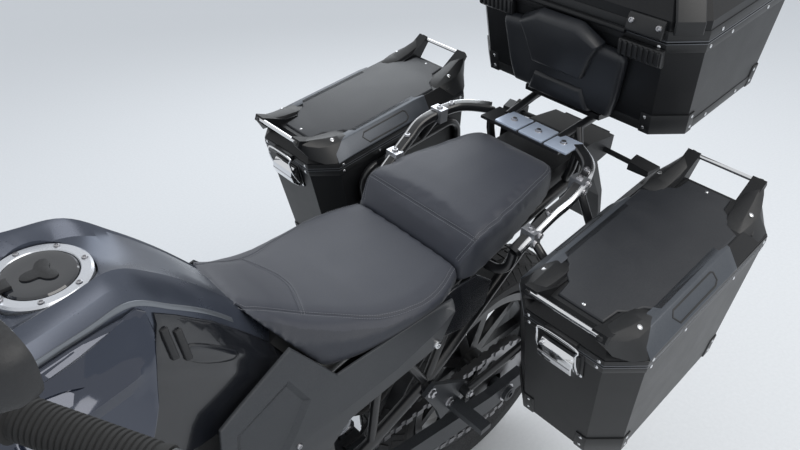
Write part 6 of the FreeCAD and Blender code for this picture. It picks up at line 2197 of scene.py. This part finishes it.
@dataclass
class TyreDress:
    """A tyre with its moulded tread and sidewall lines, made round the axle and then put on its hub."""

    name: str
    node: str
    body: Body
    hub: Point
    place: Matrix
    radius: float
    width: float
    bead: float
    crown: float
    rim: float
    blocks: int

    def fall(self, share: float) -> float:
        """Gives how far the crown drops at a share of the half width."""
        return self.crown - math.sqrt(self.crown**2 - (self.width / 2 * share) ** 2)

    def profile(self) -> list[Flat]:
        """Gives half the section, radius and distance from the middle, from the crown to the bead."""
        half = self.width / 2
        rim = self.rim / 2
        run = [(self.radius - 3.5 - self.fall(s), half * s) for s in (0.0, 0.2, 0.4, 0.6, 0.8, 0.93)]
        run += [(self.radius - 46, half - 0.5), (self.bead + 50, half - 0.8), (self.bead + 36, half * 0.96)]
        run += [(self.bead + 20, rim - 4), (self.bead + 14, rim - 7.5), (self.bead + 1, rim - 9.5)]
        return run

    def frame(self) -> Matrix:
        """Gives the hub's frame, with Y along the axle."""
        return self.place @ Matrix.Translation(self.hub)

    def build(self) -> None:
        """Makes the carcass and the tread."""
        half = self.profile()
        outline = half + [(r, -y) for r, y in reversed(half[1:])]
        form = Form(self.name, self.frame())
        turns = [2 * math.pi * i / TYRE_STEPS for i in range(TYRE_STEPS)]
        form.skin([[(r * math.cos(t), y, r * math.sin(t)) for r, y in outline] for t in turns], loop=True)
        form.build(TYRE, self.body, replaces=[self.node], sharp=40)
        self.tread()

    def tread(self) -> None:
        """Sets blocks round the tyre: a middle pair and two shoulder blocks a step."""
        half = self.width / 2
        block = Form(self.name + "_block", LOCAL)
        step = 2 * math.pi / self.blocks

        def at(turn: float, y: float, out: float) -> Point:
            """Gives a point that stands off the crown."""
            r = self.radius - self.fall(min(abs(y) / half, 0.98)) + out
            return (r * math.cos(turn), y, r * math.sin(turn))

        # turn at the start and end, and distance from the middle at the start and end
        lugs = [
            (0.04, 0.46, 0.03, 0.30), (0.54, 0.94, 0.05, 0.34), (0.10, 0.60, 0.38, 0.64),
            (0.56, 1.00, 0.70, 0.97), (0.02, 0.40, 0.70, 0.95)
        ]
        for a, b, c, d in lugs:
            for side, shift in ((1, 0.0), (-1, 0.5)):
                corners = [(a, c), (b, c * 1.05), (b + 0.06, d), (a + 0.08, d)]
                low = [at((t + shift) * step, side * y * half, -4.5) for t, y in corners]
                high = [at((t + shift) * step, side * y * half, 0.0) for t, y in corners]
                middle = [sum(corner[k] for corner in high) / 4 for k in range(3)]
                top = [tuple(p + (m - p) * 0.05 for p, m in zip(corner, middle)) for corner in high]
                block.skin([low, top])
        base = bpy.data.meshes.new(self.name + "_tread")
        base.from_pydata([(0, 0, 0)], [], [])
        tread = Repeat.realised(base.name, base, Repeat.wheel(), block, TYRE, Count=self.blocks)
        mesh = tread.data
        mesh.transform(Matrix.Scale(1 / MM, 4))
        mesh.transform(self.frame())
        finished(tread, TYRE, self.body, [self.node], sharp=25)


@dataclass
class RollingGear:
    """Tyres with their tread, disc bolts and spindle washers."""

    def build(self) -> None:
        """Makes the pieces of both wheels."""
        rear = (REAR_HUB, STAND, 321, 150, 216, 84, 112, 34)
        front = (FRONT_HUB, STEER, 329, 110, 241, 59, 82, 40)
        TyreDress("rear_tyre_carcass", "rear_tyre", Body.REAR_WHEEL, *rear).build()
        TyreDress("front_tyre_carcass", "front_tyre", Body.FRONT_WHEEL, *front).build()
        self.disc_bolts()
        self.nuts()

    def disc_bolts(self) -> None:
        """Adds the bolts of the three discs."""
        for name, place, hub, body, circle_radius, count, ys in (
            ("front_disc_bolts", STEER, FRONT_HUB, Body.FRONT_WHEEL, 49.0, 6, ((69.0, 1), (-69.0, -1))),
            ("rear_disc_bolts", STAND, REAR_HUB, Body.REAR_WHEEL, 49.0, 5, ((-95.0, -1),))
        ):
            bolts = Fasteners(name, Head.BUTTON, 5.5, STEEL, place @ Matrix.Translation(hub), body)
            for y, way in ys:
                for i in range(count):
                    turn = 2 * math.pi * i / count
                    bolts.put(
                        (circle_radius * math.cos(turn), y, circle_radius * math.sin(turn)), (0, way, 0)
                    )
            bolts.build()

    def nuts(self) -> None:
        """Adds the spindle nuts' washers."""
        washers = Form("spindle_washers")
        washers.lathe((0, 134.4, 321), (0, 1, 0), [(0, 24), (2.2, 24), (2.2, 19.5), (0, 19.5)], 32)
        washers.mirrored()
        washers.build(STEEL)


@dataclass
class Controls:
    """Ribbed grips, switch buttons, hoses and mirrors."""

    inner: Point = (1016.8, 294.9, 1218.1)
    outer: Point = (976.0, 425.0, 1222.0)
    grip_length: float = 129.0
    hose_radius: float = 3.6

    def build(self) -> None:
        """Makes the pieces on the bars."""
        self.grips()
        self.switches()
        self.hoses()
        self.mirrors()

    @property
    def axis(self) -> Vector:
        """Gives the heading of the left bar end."""
        return (Vector(self.outer) - Vector(self.inner)).normalized()

    def grips(self) -> None:
        """Draws each grip as a ribbed rubber sleeve with a bar-end weight."""
        axis = self.axis
        start = Vector(self.outer) - axis * self.grip_length
        profile: list[Flat] = [(0, 12), (0, 21), (5, 21.5), (6, 17)]
        for i in range(22):
            d = 9.0 + i * 5.0
            profile += [(d, 16.2), (d + 0.8, 17.6), (d + 3.4, 17.6), (d + 4.2, 16.2)]
        profile += [(121, 17), (127, 18.5), (129, 18), (129, 12)]
        for side, tag in SIDES:
            grip = Form(f"grip_sleeve_{tag}", STEER)
            a = Vector((start.x, side * start.y, start.z))
            way = Vector((axis.x, side * axis.y, axis.z))
            grip.lathe(a, way, profile, 36)
            grip.build(RUBBER, Body.STEERING, replaces=["grips"], sharp=30)
            weight = Form(f"bar_end_{tag}", STEER)
            tip = a + way * (self.grip_length + 0.3)
            weight.lathe(tip, way, [(0, 13), (1, 16.5), (12, 16.5), (16, 13), (16, 5)], 28)
            weight.build(FRAME, Body.STEERING)

    def switches(self) -> None:
        """Adds buttons on the switch housings."""
        for side, tag in SIDES:
            pods = Form(f"switch_buttons_{tag}", STEER)
            middle = Vector(self.inner) - self.axis * 24
            middle.y *= side
            for along, up, out, size in ((-8, 6, -20, 6), (6, 8, -19, 5), (-2, -8, -19, 5.5)):
                at = middle + Vector((out, side * along, up))
                pods.lathe(at, (-1, 0, 0.2), [(0, size), (3, size), (4.5, size - 1.4)], 16)
            pods.build(GRAPHITE, Body.STEERING, bevel=0.4)

    def hoses(self) -> None:
        """Draws the brake hoses and cables, held at both ends."""
        brake = [
            (1040, -262, 1236), (1075, -215, 1205), (1130, -150, 1130), (1190, -112, 1010), (1240, -98, 900)
        ]
        clutch = [
            (1050, 262, 1218), (1100, 190, 1180), (1150, 90, 1120), (1180, 30, 1060), (1186, 20, 1010)
        ]
        throttle = [(1030, -258, 1206), (1085, -170, 1172), (1140, -80, 1110), (1176, -30, 1062)]
        throttle.append((1184, -20, 1012))
        caliper = [(1240, 98, 900), (1290, 88, 780), (1345, 84, 620), (1388, 92, 500), (1412, 88, 430)]
        runs = {"brake_hose_front": brake, "clutch_cable": clutch, "throttle_cable": throttle}
        for side, tag in SIDES:
            runs["caliper_hose_" + tag] = [(x, side * y, z) for x, y, z in caliper]
        for name, route in runs.items():
            hose = Form(name, STEER)
            hose.tube(curve_through(route, 8), self.hose_radius, 12)
            hose.build(RUBBER, Body.STEERING)

    def mirror_outline(self, grow: float) -> list[Flat]:
        """Gives the rounded outline of a mirror head as pairs across and up."""
        points = []
        for c, z in circle(1.0, 40):
            along = math.copysign(abs(c) ** 0.55, c)
            high = math.copysign(abs(z) ** 0.6, z) * 26 + 3 + along * 2.5
            points.append(((along * 58 + 4) * grow, high * grow))
        return points

    def mirrors(self) -> None:
        """Draws the mirror heads on their stalks and lays the glass into them."""
        foot = self.clamp() + self.axis * 14 + Vector((0, 0, 22.6))
        centre = self.clamp() + Vector((30, 90, 176))
        heads = (
            (-13.4, 0.96), (-14.0, 0.985), (-11.0, 1.0), (-2.0, 1.0), (7.0, 0.93), (14.0, 0.76), (17.0, 0.5)
        )
        panes = ((-12.0, 0.93), (-14.6, 0.93), (-14.9, 0.91))

        def shell(name: str, side: int, steps: Sequence[Flat]) -> Form:
            """Draws a closed shape from the mirror's outline at several sizes."""
            form = Form(name, STEER)
            form.skin(
                [
                    [
                        (centre.x + out, side * (centre.y + y), centre.z + z)
                        for y, z in self.mirror_outline(grow)
                    ]
                    for out, grow in steps
                ]
            )
            return form

        for side, tag in SIDES:
            head = shell(f"mirror_head_{tag}", side, heads)
            head.build(PLASTIC, Body.STEERING, replaces=["mirrors"], sharp=40)
            stalk = Form(f"mirror_stalk_{tag}", STEER)
            route = [
                foot - Vector((0, 0, 9)), foot, foot + Vector((2, 10, 60)), centre + Vector((0, -20, -10))
            ]
            stalk.tube(curve_through([(p.x, side * p.y, p.z) for p in route], 8), 5, 14)
            nut = (foot.x, side * foot.y, foot.z - 8)
            stalk.lathe(nut, (0, 0, 1), [(0, 10), (10, 10), (13, 8), (18, 7)], 6)
            stalk.build(FRAME, Body.STEERING)
            shell(f"mirror_glass_{tag}", side, panes).build(MIRROR, Body.STEERING, sharp=30)

    def clamp(self) -> Vector:
        """Gives where the hand controls sit on the bar."""
        axis = (Vector(self.outer) - Vector((1018, 291, 1218))).normalized()
        return Vector(self.outer) - axis * self.grip_length - axis * 24


@dataclass
class Front:
    """What the nose carries: reflectors, the dial screen, screen screws and fork details."""

    rake: float = math.radians(26)
    leg_offset: float = 32.8
    leg_spread: float = 105.0

    def build(self) -> None:
        """Makes the pieces of the front."""
        self.lamps()
        self.dial()
        self.fork()

    def lamps(self) -> None:
        """Draws the two reflectors and the light bar under them."""
        bowl = Form("headlight_bowls")
        profile = [(0, 8), (4, 16), (14, 24), (28, 29), (28, 27.5), (14, 22), (5, 14)]
        for y in (36, -36):
            bowl.lathe((1446, y, 950), (1, 0, 0), profile, 32)
        bowl.build(CHROME)
        bar = Form("light_bar")
        bar.box((1450, -60, 920), (1488, 60, 924))
        bar.build(SPRING, bevel=0.8)

    def dial(self) -> None:
        """Draws the dial's screen and sets the screws of the windscreen."""
        dial = Form("dial_screen")
        near = [(1270.6, -68, 1078), (1270.6, 68, 1078), (1284.4, 68, 1130), (1284.4, -68, 1130)]
        far = [(1272.6, -70, 1076), (1272.6, 70, 1076), (1287.0, 70, 1132), (1287.0, -70, 1132)]
        dial.skin([near, far])
        dial.build(DISPLAY, bevel=0.6)
        screws = Fasteners("screen_screws", Head.BUTTON, 5.0, DARK_STEEL, STAND)
        for x, y, z in ((1392.5, 60, 1062), (1373.5, 96, 1070), (1365.5, 70, 1120)):
            screws.put((x, y, z), (0.9, 0.2, 0.35), True)
        screws.build()

    def leg(self, z: float, side: int) -> Vector:
        """Gives the middle of a fork leg, from the height of the steering axis beside it."""
        ahead = Vector((math.cos(self.rake), 0, math.sin(self.rake)))
        middle = Vector((1515 + 124 - z * math.tan(self.rake), 0, z))
        return middle + ahead * self.leg_offset + Vector((0, side * self.leg_spread, 0))

    def fork(self) -> None:
        """Sets the bolts on the upper yoke and the seals round the lower tubes."""
        bolts = Fasteners("yoke_bolts", Head.BUTTON, 6.0, STEEL, STEER, Body.STEERING)
        top = Vector((math.sin(-self.rake), 0, math.cos(self.rake)))
        for side, _ in SIDES:
            bolts.put(tuple(self.leg(1075, side) + top * 27), tuple(top))
        bolts.build()
        for side, tag in SIDES:
            cap = Form(f"fork_seal_{tag}", STEER)
            profile = [(0, 23), (0, 28.5), (18, 28.5), (22, 27.2), (22, 23)]
            cap.lathe(self.leg(604, side) - top * 14, top, profile, 32)
            cap.build(RUBBER, Body.STEERING)


FIN_COUNT = 44


@dataclass
class Chassis:
    """Bolts, hoses and covers on the frame, the engine and the tail."""

    def build(self) -> None:
        """Makes the small fittings."""
        self.frame_bolts()
        self.engine_details()
        self.radiator_fins()
        self.hoses()
        self.tail()

    def frame_bolts(self) -> None:
        """Adds the big bolts of the frame, hangers and shock."""
        bolts = Fasteners("frame_bolts", Head.HEX, 8.0, STEEL, STAND)
        plate = [(565, 151.4, 402), (600, 151.4, 560), (622, 151.4, 662), (556, 151.4, 458)]
        hangers = [(580, 161.8, 385), (590, 161.8, 350), (312, 162.8, 590), (255, 162.8, 520)]
        for spot in (*plate, *hangers, (600, 151.4, 340)):
            bolts.put(spot, (0, 1, 0), True)
        bolts.build()
        eye = Form("shock_eye_washers")
        for x, z in ((520, 604), (403, 425)):
            eye.lathe((x, 24.6, z), (0, 1, 0), [(0, 11), (4, 11), (5, 9)], 6)
        eye.mirrored()
        eye.build(STEEL, bevel=0.6)

    def engine_details(self) -> None:
        """Adds the screws round the covers, the oil cap and the spark plug leads."""
        screws = Fasteners("engine_screws", Head.BUTTON, 5.0, STEEL, STAND)
        for i in range(8):
            turn = 2 * math.pi * i / 8
            screws.put((815 + 70 * math.cos(turn), 156.4, 385 + 70 * math.sin(turn)), (0, 1, 0))
            screws.put((764 + 67 * math.cos(turn), -158.4, 395 + 67 * math.sin(turn)), (0, -1, 0))
        for x, z in ((790, 655), (905, 645), (920, 715), (800, 755)):
            screws.put((x, 116.4, z), (0, 1, 0), True)
        screws.build()
        caps = Form("engine_caps")
        caps.lathe((862, -148.5, 360), (0, -1, 0), [(0, 15), (6, 15), (8, 12), (8, 4)], 24)
        caps.lathe((815, 166.2, 385), (0, 1, 0), [(0, 20), (3, 20), (4, 17), (2.5, 15), (2.5, 3)], 32)
        caps.build(GRAPHITE, bevel=0.6)
        leads = Form("plug_leads")
        for y in (46, -46):
            route = [(850, y, 752), (846, y, 782), (826, y * 0.8, 800), (790, y * 0.6, 798)]
            leads.tube(curve_through(route, 6), 4.5, 12)
        leads.build(RUBBER)

    def radiator_fins(self) -> None:
        """Draws the radiator's fins and its grille."""
        strips = Form("radiator_fins")
        for i in range(FIN_COUNT):
            share = (i + 1) / (FIN_COUNT + 1)
            x, z = 1070.4 + (1110.6 - 1070.4) * share, 554 + (768 - 554) * share
            strips.box((x - 1.0, -145, z - 0.7), (x + 3.0, 145, z + 0.7))
        strips.build(DARK_STEEL)
        bars = Form("radiator_guard")
        for y in range(-130, 131, 26):
            bars.sweep([(1076.5, y, 556), (1116.5, y, 768)], lozenge(3, 3, 0.8))
        bars.sweep([(1077, -150, 560), (1077, 150, 560)], lozenge(8, 8, 2))
        bars.sweep([(1116, -150, 765), (1116, 150, 765)], lozenge(8, 8, 2))
        bars.build(PLASTIC, bevel=0.4)

    def hoses(self) -> None:
        """Draws the coolant hoses and the wiring along the frame."""
        coolant = Form("coolant_hoses")
        high = [(1052, 128, 748), (1005, 124, 744), (955, 92, 716), (918, 80, 700)]
        low = [(1040, -128, 585), (1000, -126, 560), (962, -118, 500), (930, -112, 450)]
        for route in (high, low):
            coolant.tube(curve_through(route, 8), 13, 18)
        coolant.build(RUBBER)
        loom = Form("wiring_loom")
        rail = [(560, 96, 742), (480, 98, 700), (400, 92, 690), (320, 86, 716), (240, 84, 760)]
        branch = [(470, 60, 610), (440, 82, 560), (380, 92, 560), (330, 92, 620), (320, 84, 700)]
        for route, radius in ((rail, 6), (branch, 4.5)):
            loom.tube(curve_through(route, 8), radius, 10)
        loom.mirrored()
        loom.build(RUBBER)

    def tail(self) -> None:
        """Adds the lamp's ribs, the indicator lenses and the reflector."""
        lamp = Form("tail_lamp_ribs")
        for y in range(-52, 53, 8):
            lamp.box((-348, y - 2.4, 848), (-345.6, y + 2.4, 872))
        lamp.build(RED, bevel=0.5)
        lens = Form("indicator_lenses")
        lens.skin(
            [
                [(-320.5, 160, 842), (-320.5, 206, 845), (-320.5, 202, 859), (-320.5, 160, 862)],
                [(-317.4, 156, 840), (-317.4, 209, 843), (-317.4, 204, 861), (-317.4, 156, 864)]
            ]
        )
        lens.mirrored()
        lens.build(AMBER, bevel=0.6)
        reflector = Form("rear_reflector")
        reflector.skin(
            [
                [(-398, -34, 606), (-398, 34, 606), (-386, 34, 648), (-386, -34, 648)],
                [(-403, -32, 608), (-403, 32, 608), (-391, 32, 646), (-391, -32, 646)]
            ]
        )
        reflector.build(RED, bevel=0.8)


NODE_FINISHES: dict[Finish, tuple[str, ...]] = {
    FRAME: (
        "frame", "rear_frame", "rear_carrier", "top_case_plate", "side_case_racks", "fork_yokes",
        "handlebar", "front_wheel", "rear_wheel", "side_stand"
    ),
    GRAPHITE: ("swingarm", "nose_cowl", "footrests", "front_mudguard"), SPRING: ("rear_shock",),
    ENGINE: ("engine",), EXHAUST: ("exhaust",), ALLOY: ("skid_plate", "rack_clamps"), LENS: ("headlight",),
    SCREEN: ("windscreen",),
    PLASTIC: (
        "radiator", "instrument", "tail_unit", "rear_lamps", "rear_mudguard", "hand_controls", "mirrors"
    ),
    CASE: (
        "side_case_shells", "side_case_lid_left", "side_case_lid_right", "top_case_shell", "top_case_lid"
    ),
    FORK: ("fork_legs",),
    DARK_STEEL: ("chain", "rear_caliper", "front_calipers", "front_discs", "rear_disc", "rear_sprocket")
}


def dress_nodes(nodes: dict[str, Piece]) -> None:
    """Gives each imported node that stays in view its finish."""
    for finish, names in NODE_FINISHES.items():
        for name in names:
            node = nodes[name]
            if not node.material_slots:
                node.data.materials.append(finish.material())
            for slot in node.material_slots:
                slot.material = finish.material()
            LOG.info("%s takes %s", name, finish.name)


ROUND = ((-1, -1), (1, -1), (1, 1), (-1, 1))


@dataclass
class Studio:
    """The plain studio: camera, pale floor, sky and two soft lamps."""

    eye: Point = (990.8, 720.2, 1630.7)
    focal_pixels: float = 699.8
    frame_pixels: int = 800
    right: Point = (-0.722, 0.6905, 0.0432)
    down: Point = (0.3874, 0.4553, -0.8017)
    forward: Point = (-0.5733, -0.5621, -0.5962)
    floor_color: tuple[float, float, float] = (0.74, 0.74, 0.735)
    floor_reach: float = 40.0

    def camera(self) -> None:
        """Sets the camera where the photograph was taken from."""
        data = bpy.data.cameras.new("camera")
        data.sensor_width = 36.0
        data.lens = 36.0 * self.focal_pixels / self.frame_pixels
        data.clip_start = 0.02
        camera = bpy.data.objects.new("camera", data)
        bpy.context.scene.collection.objects.link(camera)
        axes = Matrix(
            (self.right, [-v for v in self.down], [-v for v in self.forward])
        ).transposed().to_4x4()
        turn = STAND.to_3x3().normalized().to_4x4()
        camera.matrix_world = Matrix.Translation(STAND @ Vector(self.eye)) @ turn @ axes
        bpy.context.scene.camera = camera

    def surroundings(self) -> None:
        """Makes the floor and the sky."""
        scene = bpy.context.scene
        scene.view_settings.view_transform = "Standard"
        mesh = bpy.data.meshes.new("floor")
        mesh.from_pydata(
            [(sx * self.floor_reach, sy * self.floor_reach, 0) for sx, sy in ROUND], [], [(0, 1, 2, 3)]
        )
        floor = new_object("floor", mesh)
        mesh.materials.append(self.floor_material())
        floor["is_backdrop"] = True
        world = bpy.data.worlds.new("studio_sky")
        scene.world = world
        world.use_nodes = True
        tree = world.node_tree
        sky = tree.nodes["Background"]
        sky.inputs["Color"].default_value = (0.86, 0.92, 1.0, 1.0)
        sky.inputs["Strength"].default_value = 0.85
        seen = tree.nodes.new("ShaderNodeBackground")
        seen.inputs["Color"].default_value = (0.72, 0.73, 0.74, 1.0)
        rays = tree.nodes.new("ShaderNodeLightPath")
        mixed = tree.nodes.new("ShaderNodeMixShader")
        share = rays.outputs["Is Camera Ray"]
        for label in ("Is Glossy Ray", "Is Transmission Ray"):
            share = worked(tree, "MAXIMUM", share, rays.outputs[label])
        tree.links.new(share, mixed.inputs[0])
        tree.links.new(sky.outputs[0], mixed.inputs[1])
        tree.links.new(seen.outputs[0], mixed.inputs[2])
        tree.links.new(mixed.outputs[0], tree.nodes["World Output"].inputs["Surface"])

    def lamps(self) -> None:
        """Hangs two soft lamps that face the middle of the machine."""
        for name, at, size, power, color in (
            ("lamp_left", (-1.0, 2.6, 3.4), 2.6, 62.0, (1.0, 0.97, 0.93)),
            ("lamp_back", (-2.4, -2.2, 3.0), 2.2, 38.0, (0.9, 0.95, 1.0))
        ):
            data = bpy.data.lights.new(name, "AREA")
            data.size = size
            data.energy = power
            data.color = color
            lamp = bpy.data.objects.new(name, data)
            bpy.context.scene.collection.objects.link(lamp)
            aim = (Vector((0, 0, 0.7)) - Vector(at)).to_track_quat("-Z", "Y")
            lamp.matrix_world = Matrix.Translation(at) @ aim.to_matrix().to_4x4()

    def floor_material(self) -> bpy.types.Material:
        """Gives the pale floor its material."""
        made = bpy.data.materials.new("studio_floor")
        made.use_nodes = True
        tree = made.node_tree
        shader = tree.nodes["Principled BSDF"]
        shader.inputs["Roughness"].default_value = 0.9
        speck = joined(tree, "ShaderNodeTexNoise", {"Vector": place_of(tree), "Scale": 90.0, "Detail": 4.0})
        dark, light = ((*[c * share for c in self.floor_color], 1.0) for share in (0.94, 1.05))
        shade = joined(tree, "ShaderNodeMix", {0: speck.outputs[0], 6: dark, 7: light}, data_type="RGBA")
        tree.links.new(shade.outputs[2], shader.inputs["Base Color"])
        return made


def corners(bounds: object) -> object:
    """Gives a box as plain lists of numbers."""
    if isinstance(bounds, (int, float)):
        return float(bounds)
    return [corners(item) for item in bounds]


def main() -> None:
    """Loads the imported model, dresses it and lights it."""
    logging.basicConfig(level=logging.INFO, format="%(name)s: %(message)s")
    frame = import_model()
    packed = corners(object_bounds())
    studio = Studio()
    studio.camera()
    studio.surroundings()
    studio.lamps()
    dress_nodes(frame["nodes"])
    luggage = (SideCase(1), SideCase(-1), TopCase(), Carrier())
    for part in (Tank(), Panels(), Seats(), *luggage, RollingGear(), Controls(), Front(), Chassis()):
        LOG.info("building %s", type(part).__name__)
        part.build()
    {"cad": packed, "visual": corners(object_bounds())}


if __name__ == "__main__":
    main()
